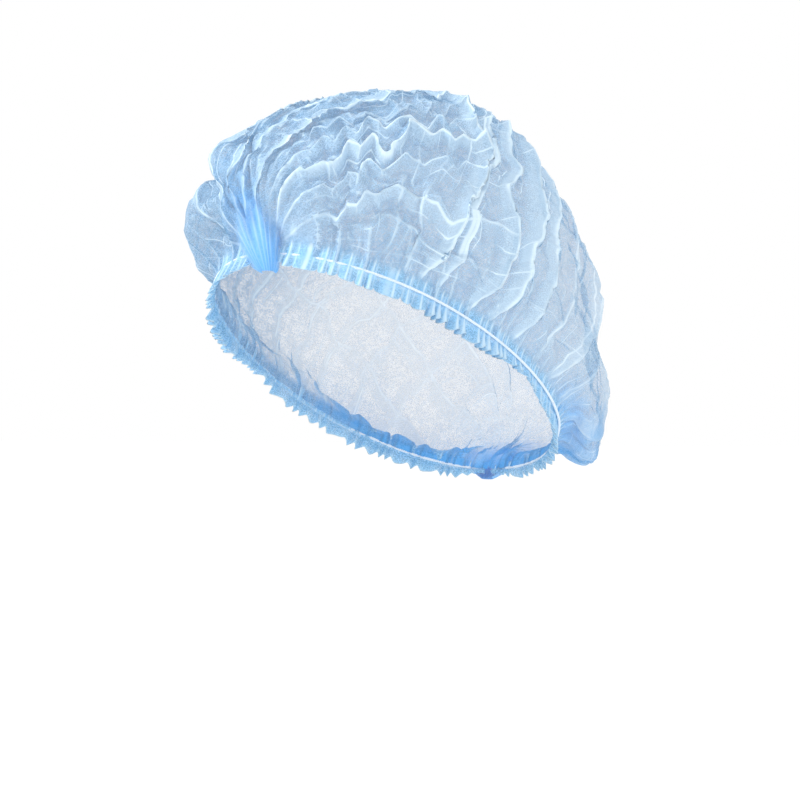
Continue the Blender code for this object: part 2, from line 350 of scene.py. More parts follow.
@dataclass(frozen=True)
class FoldFamily:
    """Folds that run side by side and never cross."""

    folds: tuple[Fold, ...]
    sharpness: float = 1.25
    crest: float = 0.05
    evenness: float = 0.85
    fewest: int = 4
    under_reach: float = 0.07
    layered_shape: tuple[float, float] = (0.12, 0.40)
    layered_shift: tuple[float, float] = (0.5 * MM, 4.5 * MM)

    def lines(self, station: np.ndarray) -> np.ndarray:
        """Where each fold runs at each station, with the folds in the first axis."""
        return np.stack([looked_up(station, fold.course) for fold in self.folds])

    def position(self, phase: np.ndarray, station: np.ndarray) -> np.ndarray:
        """Where a phase lies.

        Args:
            phase: Number of the fold with its share of the way to the next.
            station: Angle along the folds at each point.

        Returns:
            Angle across the family at each point.
        """
        lines = self.lines(station)
        low = np.clip(np.floor(phase).astype(int), 0, len(self.folds) - 2)[None]
        first = np.take_along_axis(lines, low, axis=0)[0]
        second = np.take_along_axis(lines, low + 1, axis=0)[0]
        return first + (phase - low[0]) * (second - first)

    def spread(self, count: int, station: np.ndarray) -> np.ndarray:
        """Phases of the grid lines, one of them on every crest.

        Args:
            count: How many grid lines there are.
            station: Stations whose mean spacing sets how many lie between two folds.

        Returns:
            The phases, from the first fold to the last.
        """
        gaps = np.diff(self.lines(station), axis=0).mean(axis=1) ** self.evenness
        counts = np.maximum(self.fewest, np.rint(gaps / gaps.sum() * (count - 1)).astype(int))
        counts[np.argmax(counts)] += count - 1 - counts.sum()
        parts = [number + np.arange(steps) / steps for number, steps in enumerate(counts)]
        return np.concatenate(parts + [np.array((len(self.folds) - 1.0,))])

    def relief(self, phase: np.ndarray, station: np.ndarray) -> tuple[np.ndarray, ...]:
        """Height, sideways lean, crest brightness and layering of the folds.

        Args:
            phase: Number of the fold that each point lies on.
            station: Angle along the folds at each point.

        Returns:
            Height in metres, lean as a share of height, brightness of the crest line, and how layered the cloth is.
        """
        nearest = np.broadcast_to(np.rint(phase).astype(int), station.shape)
        side = phase - nearest
        strengths = np.stack([plateau(station, *fold.span) for fold in self.folds])
        strength = np.take_along_axis(strengths, nearest[None], axis=0)[0]
        rises, brights, leans, shares = (
            np.array([getattr(fold, name) for fold in self.folds])[nearest]
            for name in ("rise", "bright", "lean", "share")
        )
        heights = rises * strength
        full = math.hypot(0.5, self.crest) - self.crest
        round_off = (np.sqrt((np.abs(side) / shares) ** 2 + self.crest**2) - self.crest) / full
        shape = np.clip(1.0 - round_off, 0.0, 1.0) ** self.sharpness
        under = 1.0 - ramp(side * np.sign(leans), 0.0, self.under_reach)
        layered = ramp(shape, *self.layered_shape) * under * ramp(np.abs(leans) * heights, *self.layered_shift)
        return heights * shape, leans, brights * strength, layered


def lengthwise_folds() -> FoldFamily:
    """The pleats that fan out of the front knot and run to the rear one.

    Each row has the course over angles along the crown, the angle across that it keeps towards the rear,
    the rise in millimetres, the lean, the share of the gap, the brightness and the span.
    """
    long = (0.0, 12.0, 150.0, 172.0)
    rows = (
        (((10.0, -84.0), (40.0, -80.0)), -81.0, 2.0, -0.3, 0.7, 0.3, long),
        (((10.0, -78.0), (20.0, -73.0), (45.0, -62.0)), -66.0, 3.4, 1.4, 0.6, 0.7, long),
        (((10.0, -72.0), (16.0, -66.0), (24.0, -50.0), (32.0, -37.0)), -50.0, 3.6, 1.3, 0.7, 0.9, long),
        (((8.0, -58.0), (16.0, -43.0), (22.0, -24.0), (34.0, -18.0)), -34.0, 3.6, 1.3, 0.7, 1.0, long),
        (((8.0, -40.0), (16.0, -25.0), (22.0, -11.0), (40.0, -6.0)), -20.0, 2.8, 1.2, 0.6, 0.9, long),
        (((8.0, -14.0), (14.0, 2.0), (22.0, 11.0), (36.0, 12.0), (44.0, 19.0), (62.0, 23.0)),
         -6.0, 3.4, 1.6, 0.6, 1.0, (0.0, 10.0, 60.0, 84.0)),
        (((8.0, 8.0), (16.0, 24.0), (30.0, 25.0), (40.0, 30.0), (60.0, 32.0)),
         8.0, 2.2, 0.8, 0.6, 0.7, (14.0, 24.0, 150.0, 172.0)),
        (((8.0, 24.0), (18.0, 38.0), (30.0, 38.0), (60.0, 41.0)), 22.0, 2.6, -1.0, 0.6, 0.8, long),
        (((8.0, 40.0), (24.0, 56.0), (32.0, 49.0), (40.0, 53.0), (48.0, 44.0), (56.0, 48.0)),
         36.0, 3.8, -1.3, 0.6, 1.0, (0.0, 10.0, 60.0, 76.0)),
        (((8.0, 56.0), (24.0, 64.0), (34.0, 58.0), (48.0, 57.0)), 50.0, 2.4, -1.0, 0.6, 0.8, (0.0, 10.0, 60.0, 78.0)),
        (((6.0, 70.0), (24.0, 73.0), (33.0, 69.0), (42.0, 68.0), (53.0, 72.0)),
         66.0, 2.8, -1.2, 0.6, 0.9, (0.0, 10.0, 60.0, 80.0)),
        (((8.0, 80.0), (50.0, 81.0)), 79.0, 1.2, 0.0, 0.8, 0.4, long),
    )
    folds = [
        Fold(course + ((100.0, end), (173.0, end)), rise * MM, *traits) for course, end, rise, *traits in rows
    ]
    edges = [Fold(((0.0, angle), (180.0, angle))) for angle in (-90.0, 90.0)]
    return FoldFamily((edges[0], *folds, edges[1]))


def crosswise_folds() -> FoldFamily:
    """The folds that rise from the rim at the sides and the back and run over the top.

    Each row has the course from the top down to the left rim over angles across the crown, the course to the
    right rim as its first angle and its two places, the rise in millimetres, the lean, the share of the gap
    and the brightness.
    """
    rim = 88.0
    rows = (
        (((0.0, 44.0), (50.0, 32.0), (rim, 26.0)), (30.0, 44.0, 34.0), 0.6, 0.0, 0.5, 0.3),
        (((0.0, 53.0), (50.0, 43.0), (rim, 36.0)), (30.0, 53.0, 44.0), 1.2, 0.4, 0.5, 0.4),
        (((0.0, 61.0), (50.0, 55.0), (70.0, 47.0), (rim, 44.0)), (30.0, 61.0, 53.0), 1.8, -0.8, 0.5, 0.7),
        (((0.0, 69.0), (26.0, 68.0), (35.0, 66.0), (48.0, 66.0), (63.0, 59.0), (76.0, 52.0), (rim, 49.0)),
         (30.0, 69.0, 62.0), 3.8, 1.3, 0.7, 1.0),
        (((0.0, 78.0), (18.0, 79.0), (34.0, 71.0), (49.0, 68.0), (55.0, 65.0), (70.0, 58.0), (rim, 55.0)),
         (30.0, 78.0, 70.0), 3.0, 1.2, 0.5, 0.9),
        (((0.0, 86.0), (22.0, 82.0), (37.0, 75.0), (46.0, 73.0), (49.0, 75.0), (58.0, 69.0), (75.0, 70.0),
          (rim, 66.0)), (30.0, 86.0, 80.0), 3.4, 1.2, 0.6, 1.0),
        (((0.0, 92.0), (25.0, 86.0), (45.0, 81.0), (58.0, 80.0), (69.0, 76.0), (77.0, 75.0), (rim, 73.0)),
         (30.0, 95.0, 89.0), 4.4, 1.4, 0.85, 1.0),
        (((0.0, 101.0), (31.0, 94.0), (47.0, 90.0), (59.0, 86.0), (68.0, 85.0), (rim, 83.0)),
         (30.0, 103.0, 98.0), 3.0, 1.4, 0.5, 0.9),
        (((0.0, 110.0), (45.0, 101.0), (rim, 94.0)), (40.0, 111.0, 107.0), 2.6, -1.2, 0.5, 0.7),
        (((0.0, 119.0), (45.0, 110.0), (rim, 104.0)), (40.0, 120.0, 116.0), 3.2, 1.2, 0.6, 0.8),
        (((0.0, 129.0), (45.0, 121.0), (rim, 115.0)), (40.0, 130.0, 126.0), 2.6, -1.0, 0.5, 0.6),
        (((0.0, 140.0), (45.0, 134.0), (rim, 128.0)), (40.0, 141.0, 137.0), 3.2, 1.3, 0.6, 0.6),
        (((0.0, 151.0), (45.0, 147.0), (rim, 142.0)), (40.0, 152.0, 149.0), 2.0, 0.8, 0.6, 0.5),
        (((0.0, 163.0), (rim, 157.0)), (40.0, 163.0, 161.0), 1.2, 0.0, 0.7, 0.4),
    )
    folds = [
        Fold(((-rim, last), (-at, first)) + left, rise * MM, *traits)
        for left, (at, first, last), rise, *traits in rows
    ]
    edges = [Fold(((-90.0, angle), (90.0, angle))) for angle in (0.6, 179.4)]
    return FoldFamily((edges[0], *folds, edges[1]))


def grid_faces(rows: int, columns: int) -> np.ndarray:
    """Quads of a grid of rows by columns of points."""
    first = (np.arange(rows - 1)[:, None] * columns + np.arange(columns - 1)[None, :]).ravel()
    return np.stack((first, first + 1, first + columns + 1, first + columns), axis=-1)


def unit(vectors: np.ndarray) -> np.ndarray:
    """Vectors of length one."""
    return vectors / np.maximum(np.linalg.norm(vectors, axis=-1, keepdims=True), TINY)


def outward(points: np.ndarray, centre: np.ndarray) -> np.ndarray:
    """Unit normals of a grid of points, from its neighbours, turned away from a centre."""
    normal = unit(np.cross(np.gradient(points, axis=1), np.gradient(points, axis=0)))
    return -normal if np.sum(normal * (points - centre)) < 0.0 else normal


def step_length(points: np.ndarray, axis: int) -> np.ndarray:
    """Length of one grid step at each point, one way of the grid."""
    return np.linalg.norm(np.gradient(points, axis=axis), axis=-1)


def run_length(line: np.ndarray) -> np.ndarray:
    """Length run along a line up to each of its points."""
    return np.concatenate(((0.0,), np.cumsum(np.linalg.norm(np.diff(line, axis=0), axis=-1))))


def linked(name: str, data: bpy.types.ID) -> bpy.types.Object:
    """An object for a mesh, lamp or camera, put in the scene."""
    item = bpy.data.objects.new(name, data)
    bpy.context.scene.collection.objects.link(item)
    return item


class GridPiece:
    """A smooth mesh made from a grid of points, with its own flat map and values for its material."""

    def __init__(self, name: str, points: np.ndarray, flat: np.ndarray) -> None:
        """Makes the mesh and its map.

        Args:
            name: Name of the piece.
            points: Rows by columns of places in metres.
            flat: Rows by columns of places on the flat sheet in metres.
        """
        faces = grid_faces(*points.shape[:2])
        self.mesh = bpy.data.meshes.new(name)
        self.mesh.from_pydata(points.reshape(-1, 3).tolist(), [], faces.tolist())
        self.mesh.polygons.foreach_set("use_smooth", np.ones(len(faces), dtype=bool))
        layer = self.mesh.uv_layers.new(name="flat")
        layer.data.foreach_set("uv", flat.reshape(-1, 2)[faces.ravel()].ravel())
        self.mesh.update()
        self.item = linked(name, self.mesh)

    def store(self, **fields: np.ndarray) -> None:
        """Stores one number, or three, for each point under each name."""
        for name, values in fields.items():
            kind, slot = ("FLOAT_VECTOR", "vector") if values.ndim == 3 else ("FLOAT", "value")
            layer = self.mesh.attributes.new(name, kind, "POINT")
            layer.data.foreach_set(slot, np.ascontiguousarray(values, dtype=np.float32).ravel())


class Wiring:
    """Short calls that add nodes to a tree."""

    def __init__(self, tree: bpy.types.NodeTree) -> None:
        """Keeps the tree that nodes go into."""
        self.tree = tree

    def feed(self, socket: bpy.types.NodeSocket, value: object) -> None:
        """Links a socket or sets its value."""
        if isinstance(value, bpy.types.NodeSocket):
            self.tree.links.new(value, socket)
        elif value is not None:
            socket.default_value = value

    def add(self, kind: str, traits: dict[str, object] | None = None, **values: object) -> bpy.types.Node:
        """Adds a node.

        Args:
            kind: Type of the node.
            traits: Settings of the node, made before its inputs are fed.
            **values: Sockets or values for the inputs, with underscores in their names for spaces.

        Returns:
            The node.
        """
        node = self.tree.nodes.new(kind)
        for name, value in (traits or {}).items():
            setattr(node, name, value)
        for name, value in values.items():
            self.feed(node.inputs[name.replace("_", " ")], value)
        return node

    def counted(self, kind: str, operation: str, values: tuple[object, ...]) -> bpy.types.NodeSocket:
        """Result of a node with an operation, whose inputs are fed in order."""
        node = self.add(kind, {"operation": operation})
        for socket, value in zip(node.inputs, values):
            self.feed(socket, value)
        return node.outputs[0]

    def math(self, operation: str, *values: object) -> bpy.types.NodeSocket:
        """One arithmetic step."""
        return self.counted("ShaderNodeMath", operation, values)

    def times(self, first: object, second: object) -> bpy.types.NodeSocket:
        """The product of two numbers."""
        return self.math("MULTIPLY", first, second)

    def vectors(self, operation: str, *values: object) -> bpy.types.NodeSocket:
        """One step on vectors."""
        return self.counted("ShaderNodeVectorMath", operation, values)

    def scaled(self, vector: object, scale: object) -> bpy.types.NodeSocket:
        """A vector times a number."""
        node = self.add("ShaderNodeVectorMath", {"operation": "SCALE"}, Scale=scale)
        self.feed(node.inputs[0], vector)
        return node.outputs[0]

    def step(
        self, value: object, low: object, high: object, start: float = 0.0, end: float = 1.0
    ) -> bpy.types.NodeSocket:
        """Smooth step of a value from start at low to end at high."""
        traits = {"interpolation_type": "SMOOTHSTEP"}
        limits = {"From Min": low, "From Max": high, "To Min": start, "To Max": end}
        return self.add("ShaderNodeMapRange", traits, Value=value, **limits).outputs["Result"]

    def noise(self, vector: object, scale: object, detail: float = 2.0) -> bpy.types.NodeSocket:
        """Cloudy texture."""
        return self.add("ShaderNodeTexNoise", Vector=vector, Scale=scale, Detail=detail).outputs["Fac"]

    def mix(self, share: object, first: object, second: object) -> bpy.types.NodeSocket:
        """Colour between two colours."""
        return self.add("ShaderNodeMix", {"data_type": "RGBA"}, Factor=share, A=first, B=second).outputs["Result"]

    def split(self, vector: object) -> list[bpy.types.NodeSocket]:
        """The three numbers of a vector."""
        return list(self.add("ShaderNodeSeparateXYZ", Vector=vector).outputs)

    def attribute(self, name: str, output: str = "Fac") -> bpy.types.NodeSocket:
        """A value stored on the mesh."""
        return self.add("ShaderNodeAttribute", {"attribute_name": name}).outputs[output]

    def place(self) -> bpy.types.NodeSocket:
        """Place on the object, in metres."""
        return self.add("ShaderNodeTexCoord").outputs["Object"]

    def bump(self, shader: bpy.types.Node, height: object, distance: float, strength: float = 1.0) -> None:
        """Gives a shader relief from a height."""
        node = self.add("ShaderNodeBump", Distance=distance, Strength=strength, Height=height)
        self.feed(shader.inputs["Normal"], node.outputs["Normal"])


class Group(Wiring):
    """A shader node group with named inputs and outputs."""

    def __init__(self, name: str) -> None:
        """Starts an empty group."""
        super().__init__(bpy.data.node_groups.new(name, "ShaderNodeTree"))
        self.inside = self.add("NodeGroupInput")
        self.outside = self.add("NodeGroupOutput")

    def take(self, name: str, kind: str, value: float | None = None) -> bpy.types.NodeSocket:
        """Adds an input and gives the socket that it feeds."""
        socket = self.tree.interface.new_socket(name=name, in_out="INPUT", socket_type=kind)
        if value is not None:
            socket.default_value = value
        return self.inside.outputs[name]

    def give(self, name: str, source: bpy.types.NodeSocket) -> None:
        """Adds an output fed by a socket."""
        self.tree.interface.new_socket(name=name, in_out="OUTPUT", socket_type="NodeSocketFloat")
        self.tree.links.new(source, self.outside.inputs[name])


def plain_material(name: str) -> tuple[bpy.types.Material, bpy.types.Node, Wiring]:
    """A new material with its shader and the wiring of its tree."""
    material = bpy.data.materials.new(name)
    material.use_nodes = True
    return material, material.node_tree.nodes["Principled BSDF"], Wiring(material.node_tree)


def web_group() -> bpy.types.NodeTree:
    """Spun-bonded web: random fibres with gaps between them, cloudy weight and a grid of bonded dots."""
    lays = (((0.4, 0.2, 0.5), 0.45, 0.0), ((1.3, 0.7, 2.0), 0.55, 3.7), ((0.2, 1.4, 1.2), 0.8, 7.9))
    strand_width = 0.032
    cloud_scale = 170.0
    group = Group("spunbond_web")
    vector = group.take("Vector", "NodeSocketVector")
    flat = group.take("Flat", "NodeSocketVector")
    density = group.math("DIVIDE", 1.0, group.take("Fibre Size", "NodeSocketFloat", 0.0011))
    pitch = group.take("Dot Pitch", "NodeSocketFloat", 0.0011)
    fibres = None
    for turn, stretch, shift in lays:
        spot = group.add("ShaderNodeMapping", Vector=vector, Location=(shift, shift * 0.7, shift), Rotation=turn)
        lay = group.vectors("MULTIPLY", spot.outputs["Vector"], (1.0, stretch, 1.0))
        off = group.math("ABSOLUTE", group.math("SUBTRACT", group.noise(lay, density), 0.5))
        strand = group.step(off, 0.0, strand_width, 1.0, 0.0)
        fibres = strand if fibres is None else group.math("MAXIMUM", fibres, strand)
    part = group.split(group.scaled(flat, group.math("DIVIDE", 1.0, pitch)))
    waves = [
        group.math("ABSOLUTE", group.math("SINE", group.times(group.math(way, part[0], part[1]), math.pi)))
        for way in ("ADD", "SUBTRACT")
    ]
    group.give("Fibre", fibres)
    group.give("Cloud", group.step(group.noise(vector, cloud_scale, 3.0), 0.30, 0.70))
    group.give("Dot", group.step(group.times(*waves), 0.55, 0.9))
    return group.tree


def crease_group() -> bpy.types.NodeTree:
    """Narrow bright line along the crest of each fold, from its phase, its spacing and its strength; partly painted
    highlight along the crest, partly the paler crushed cloth of the crease.
    """
    halo_width = 4.0
    group = Group("crease_line")
    phase, spacing, strength = group.split(group.take("Fold", "NodeSocketVector"))
    width = group.take("Line Width", "NodeSocketFloat", 0.0009)
    share = group.math("FRACT", group.math("ADD", phase, 0.5))
    distance = group.times(group.math("ABSOLUTE", group.math("SUBTRACT", share, 0.5)), spacing)
    line = group.step(distance, 0.0, width, 1.0, 0.0)
    halo = group.step(distance, 0.0, group.times(width, halo_width), 1.0, 0.0)
    both = group.math("ADD", group.times(line, 0.75), group.times(halo, 0.25))
    group.give("Line", group.times(both, strength))
    return group.tree


@dataclass(frozen=True)
class SheetFinish:
    """Look of the spun-bonded sheet: its colours, how closed it is, its fibres, its crest lines, which are partly
    painted highlight, and the painted shade in the valleys of its folds.
    """

    name: str
    thin: Colour = (0.18, 0.375, 0.60, 1.0)
    deep: Colour = (0.09, 0.44, 0.92, 1.0)
    # pale colour of fibres, dots and doubled cloth, also used for the crest lines, which are partly painted highlight
    pale: Colour = (0.74, 0.90, 1.0, 1.0)
    # painted shade: the dark colour that the sheet turns towards in the valleys of its folds
    shaded: Colour = (0.05, 0.19, 0.42, 1.0)
    valley_shade_share: float = 0.42
    closed: float = 0.36
    fibre_share: float = 0.50
    cloud_share: float = 0.16
    dot_share: float = 0.16
    crease_share: float = 0.60
    depth_share: float = 0.45
    layer_share: float = 0.34
    most_cover: float = 0.97
    fibre_light: float = 0.27
    dot_light: float = 0.12
    layer_light: float = 0.30
    crest_highlight: float = 0.55
    deep_dimming: float = 0.6
    families: tuple[tuple[str, float, float], ...] = (
        ("pleat", 0.7 * MM, 1.0),
        ("fold", 0.8 * MM, 1.0),
        ("gather", 0.7 * MM, 1.0),
        ("packed_pleat", 0.5 * MM, 0.9),
        ("packed_fold", 0.5 * MM, 0.9),
    )
    fibre_size: float = 1.9 * MM
    dot_pitch: float = 1.15 * MM
    roughness: float = 0.55
    relief: float = 0.15 * MM
    relief_strength: float = 0.6

    def lines(self, wire: Wiring, crease: bpy.types.NodeTree) -> bpy.types.NodeSocket:
        """All the bright crest lines of the sheet in one value: painted highlight where the sheet bends outwards, and
        the crease lines, which are partly painted highlight and partly the paler crushed cloth of each crease.
        """
        # painted highlight: the sheet turns paler where it bends outwards, on the crests of the folds
        total = wire.times(wire.step(wire.attribute("crest"), 0.22, 1.0), self.crest_highlight)
        for family, width, strength in self.families:
            course = wire.attribute(family, "Vector")
            marked = wire.add("ShaderNodeGroup", {"node_tree": crease}, Fold=course, Line_Width=width)
            total = wire.math("MAXIMUM", total, wire.times(marked.outputs["Line"], strength))
        return total

    def build(self, web: bpy.types.NodeTree, crease: bpy.types.NodeTree) -> bpy.types.Material:
        """Makes the material.

        Args:
            web: The fibre group.
            crease: The crest line group.

        Returns:
            The finished material.
        """
        material, shader, wire = plain_material(self.name)
        flat = wire.add("ShaderNodeUVMap", {"uv_map": "flat"}).outputs["UV"]
        sizes = {"Fibre Size": self.fibre_size, "Dot Pitch": self.dot_pitch}
        cloth = wire.add("ShaderNodeGroup", {"node_tree": web}, Vector=wire.place(), Flat=flat, **sizes)
        fibre, cloud, dot = (cloth.outputs[name] for name in ("Fibre", "Cloud", "Dot"))
        depth, fade, layers = (wire.attribute(name) for name in ("depth", "fade", "layers"))
        line = self.lines(wire, crease)
        # the pale colour comes in for the fibres, the bonded dots and doubled cloth, which are the sheet's own, and
        # for the crest lines, which are partly painted highlight
        light = wire.math("MAXIMUM", wire.times(fibre, self.fibre_light), line)
        for mask, share in ((dot, self.dot_light), (layers, self.layer_light)):
            light = wire.math("MULTIPLY_ADD", mask, share, light)
        # painted shade: the colour darkens where the sheet bends inwards, in the valleys of the folds
        valley_shade = wire.step(wire.attribute("crest"), -0.7, -0.05, self.valley_shade_share, 0.0)
        base = wire.mix(valley_shade, wire.mix(depth, self.thin, self.deep), self.shaded)
        plain = wire.math("SUBTRACT", 1.0, wire.times(depth, self.deep_dimming))
        pale_share = wire.times(wire.math("MINIMUM", light, 1.0), plain)
        wire.feed(shader.inputs["Base Color"], wire.mix(pale_share, base, self.pale))
        cover = self.closed
        for mask, share in (
            (fibre, self.fibre_share), (cloud, self.cloud_share), (dot, self.dot_share),
            (depth, self.depth_share), (line, self.crease_share), (layers, self.layer_share),
        ):
            cover = wire.math("MULTIPLY_ADD", mask, share, cover)
        seen = wire.math("SUBTRACT", 1.0, fade)
        wire.feed(shader.inputs["Alpha"], wire.times(wire.math("MINIMUM", cover, self.most_cover), seen))
        shader.inputs["Roughness"].default_value = self.roughness
        height = wire.math("SUBTRACT", fibre, wire.times(dot, 0.6))
        wire.bump(shader, height, self.relief, self.relief_strength)
        material.diffuse_color = self.thin
        return material


@dataclass(frozen=True)
class Settling:
    """Short cloth run that lets spare cloth buckle between the folds."""

    spare: float = 0.05
    frames: int = 14
    thin_out: int = 2
    most: float = 7.0 * MM
    cloth: tuple[tuple[str, float], ...] = (
        ("quality", 4),
        ("mass", 0.02),
        ("air_damping", 4.0),
        ("tension_stiffness", 20.0),
        ("compression_stiffness", 20.0),
        ("shear_stiffness", 8.0),
        ("bending_stiffness", 0.02),
        ("tension_damping", 6.0),
        ("compression_damping", 6.0),
        ("bending_damping", 0.5),
    )

    def moved(self, points: np.ndarray, free: np.ndarray) -> np.ndarray:
        """Where the cloth settles.

        Args:
            points: Rows by columns of places in metres.
            free: How free each point is, 0 where it is held.

        Returns:
            How far each point moves, in metres.
        """
        part = points[:: self.thin_out, :: self.thin_out]
        loose = free[:: self.thin_out, :: self.thin_out]
        mesh = bpy.data.meshes.new("settling")
        mesh.from_pydata(part.reshape(-1, 3).tolist(), [], grid_faces(*part.shape[:2]).tolist())
        item = linked("settling", mesh)
        held = item.vertex_groups.new(name="held")
        for index, weight in enumerate(1.0 - loose.ravel()):
            held.add((index,), float(weight), "REPLACE")
        modifier = item.modifiers.new("cloth", "CLOTH")
        for name, value in self.cloth:
            setattr(modifier.settings, name, value)
        modifier.settings.shrink_min = -self.spare
        modifier.settings.shrink_max = -self.spare
        modifier.settings.vertex_group_mass = "held"
        modifier.settings.effector_weights.gravity = 0.0
        modifier.collision_settings.use_collision = False
        modifier.collision_settings.use_self_collision = False
        modifier.point_cache.frame_start = 1
        modifier.point_cache.frame_end = self.frames
        scene = bpy.context.scene
        for frame in range(1, self.frames + 1):
            scene.frame_set(frame)
        settled = item.evaluated_get(bpy.context.evaluated_depsgraph_get()).to_mesh()
        result = np.empty(part.size)
        settled.vertices.foreach_get("co", result)
        scene.frame_set(1)
        bpy.data.objects.remove(item, do_unlink=True)
        shift = result.reshape(part.shape) - part
        size = np.linalg.norm(shift, axis=-1, keepdims=True)
        shift = shift * (self.most * np.tanh(size / self.most) / np.maximum(size, TINY))
        return self.spread(shift, points.shape)

    def spread(self, shift: np.ndarray, shape: tuple[int, ...]) -> np.ndarray:
        """The coarse movement carried over to the full grid."""
        for axis in (1, 0):
            place = np.arange(shape[axis]) / self.thin_out
            low = np.clip(np.floor(place).astype(int), 0, shift.shape[axis] - 2)
            share = np.clip(place - low, 0.0, 1.0)[:, None]
            share = share if axis == 1 else share[..., None]
            shift = np.take(shift, low, axis=axis) * (1.0 - share) + np.take(shift, low + 1, axis=axis) * share
        return shift


@dataclass(frozen=True)
class Crown:
    """The sheet between the two hems, with its pleats, side folds and crumples."""

    form: WornForm
    rhythm: GatherRhythm
    rows: int = 385
    columns: int = 257
    pleats: FoldFamily = field(default_factory=lengthwise_folds)
    folds: FoldFamily = field(default_factory=crosswise_folds)
    settling: Settling = field(default_factory=Settling)
    rounds: int = 9
    round_shares: tuple[float, float] = (0.3, 0.7)
    crushed_at: tuple[float, float] = (41.0, 38.0)
    crushed_reach: tuple[float, float] = (27.0, 21.0)
    kink_pitch: float = 7.4
    pleat_depth: Table = (
        (4.0, 0.10), (7.0, 0.25), (14.0, 0.60), (28.0, 1.0), (52.0, 0.95), (78.0, 0.55),
        (112.0, 0.40), (140.0, 0.60), (158.0, 0.60), (168.0, 0.36), (176.0, 0.08),
    )
    fine_width: float = 0.36
    pleat_fine: float = 1.0 * MM
    fold_fine: float = 0.9 * MM
    facet_rise: float = 1.5 * MM
    rib_rise: float = 0.7 * MM
    crest_radius: float = 1.6 * MM
    spacing_limits: tuple[float, float] = (1.0 * MM, 60.0 * MM)

    def wander(self, wide: np.ndarray, tall: np.ndarray) -> tuple[np.ndarray, np.ndarray]:
        """How far the pleats and the side folds stray from their courses, in degrees across and along."""
        spot = np.stack((wide, tall, 0.0 * wide), axis=-1)
        stray = [2.0 * soft_noise(spot, 13.0, seed) - 1.0 for seed in (3, 4)]
        jitter = [2.0 * soft_noise(spot, 5.5, seed) - 1.0 for seed in (8, 9)]
        away = plateau(tall, 8.0, 26.0, 156.0, 172.0) * (1.0 - ramp(np.abs(wide), 76.0, 89.0))
        across = 2.4 * stray[0] + 1.2 * jitter[0] + 3.6 * self.kinks(wide, tall) * self.crushed(wide, tall)
        return across * away, (1.6 * stray[1] + 0.8 * jitter[1]) * away

    def crushed(self, wide: np.ndarray, tall: np.ndarray) -> np.ndarray:
        """Where the sheet is pushed together, most above the temple."""
        across, along = (
            (angle - middle) / reach
            for angle, middle, reach in zip((wide, tall), self.crushed_at, self.crushed_reach)
        )
        return bell(across, along)

    def kinks(self, wide: np.ndarray, tall: np.ndarray) -> np.ndarray:
        """Back and forth of the crushed pleats, from -1 to 1."""
        return zigzag(tall / self.kink_pitch + 0.25 * np.sin(0.21 * tall) + wide / 41.0)

    def angles(self) -> tuple[np.ndarray, np.ndarray, np.ndarray, np.ndarray]:
        """The grid, whose lines run along the crests.

        Returns:
            Angles across and along of each point, and the phases of the pleats and of the side folds.
        """
        size = (self.rows, self.columns)
        pleat = np.broadcast_to(self.pleats.spread(self.columns, np.linspace(25.0, 120.0, 20)), size)
        fold = np.broadcast_to(self.folds.spread(self.rows, np.linspace(-50.0, 85.0, 20))[:, None], size)
        wide = np.interp(pleat, (0.0, len(self.pleats.folds) - 1.0), (-90.0, 90.0))
        tall = self.folds.position(fold, wide)
        kept, moved = self.round_shares
        for _ in range(self.rounds):
            across, along = self.wander(wide, tall)
            tall = kept * tall + moved * (self.folds.position(fold, wide) - along)
            wide = kept * wide + moved * (self.pleats.position(pleat, tall) - across)
        return wide, tall, pleat, fold

    def flat_map(self, points: np.ndarray) -> np.ndarray:
        """Arc lengths across and along, as the sheet's own map in metres."""
        middle = self.columns // 2
        step_across = np.linalg.norm(np.diff(points, axis=1), axis=-1)
        across = np.concatenate((np.zeros((self.rows, 1)), np.cumsum(step_across, axis=1)), axis=1)
        across = across - across[:, middle : middle + 1]
        step_along = np.linalg.norm(np.diff(points, axis=0), axis=-1).mean(axis=1)
        along = np.concatenate(((0.0,), np.cumsum(step_along)))
        return np.stack((across, np.broadcast_to(along[:, None], across.shape)), axis=-1)

    def build(self) -> GridPiece:
        """Makes the folded sheet."""
        wide, tall, pleat_phase, fold_phase = self.angles()
        local, turn, height = self.form.crown(wide, tall)
        base = self.form.place(local)
        normal = outward(base, self.form.centre)
        sideways, lengthways = (unit(np.gradient(base, axis=axis)) for axis in (1, 0))
        near = ramp(height, 6.0 * MM, 24.0 * MM)
        depths = looked_up(tall, self.pleat_depth)
        pleat_rise, pleat_lean, pleat_bright, pleat_layers = self.pleats.relief(pleat_phase, tall)
        fold_rise, fold_lean, fold_bright, fold_layers = self.folds.relief(fold_phase, wide)
        shoulder = 10.0 + 14.0 * ramp(tall, 68.0, 84.0)
        over_top = 0.16 + 0.84 * ramp(wide, shoulder, shoulder + 20.0) + 0.45 * ramp(-wide, 8.0, 40.0)
        fold_ends = plateau(tall, 12.0, 34.0, 158.0, 172.0)
        off_rim = ramp(height, 0.0, 9.0 * MM)
        pleat_rise = pleat_rise * depths * near
        fold_rise = fold_rise * ramp(height, 3.0 * MM, 22.0 * MM) * over_top * fold_ends
        offset = pleat_rise[..., None] * (normal + pleat_lean[..., None] * sideways)
        offset = offset + fold_rise[..., None] * (normal + (fold_lean * over_top)[..., None] * lengthways)

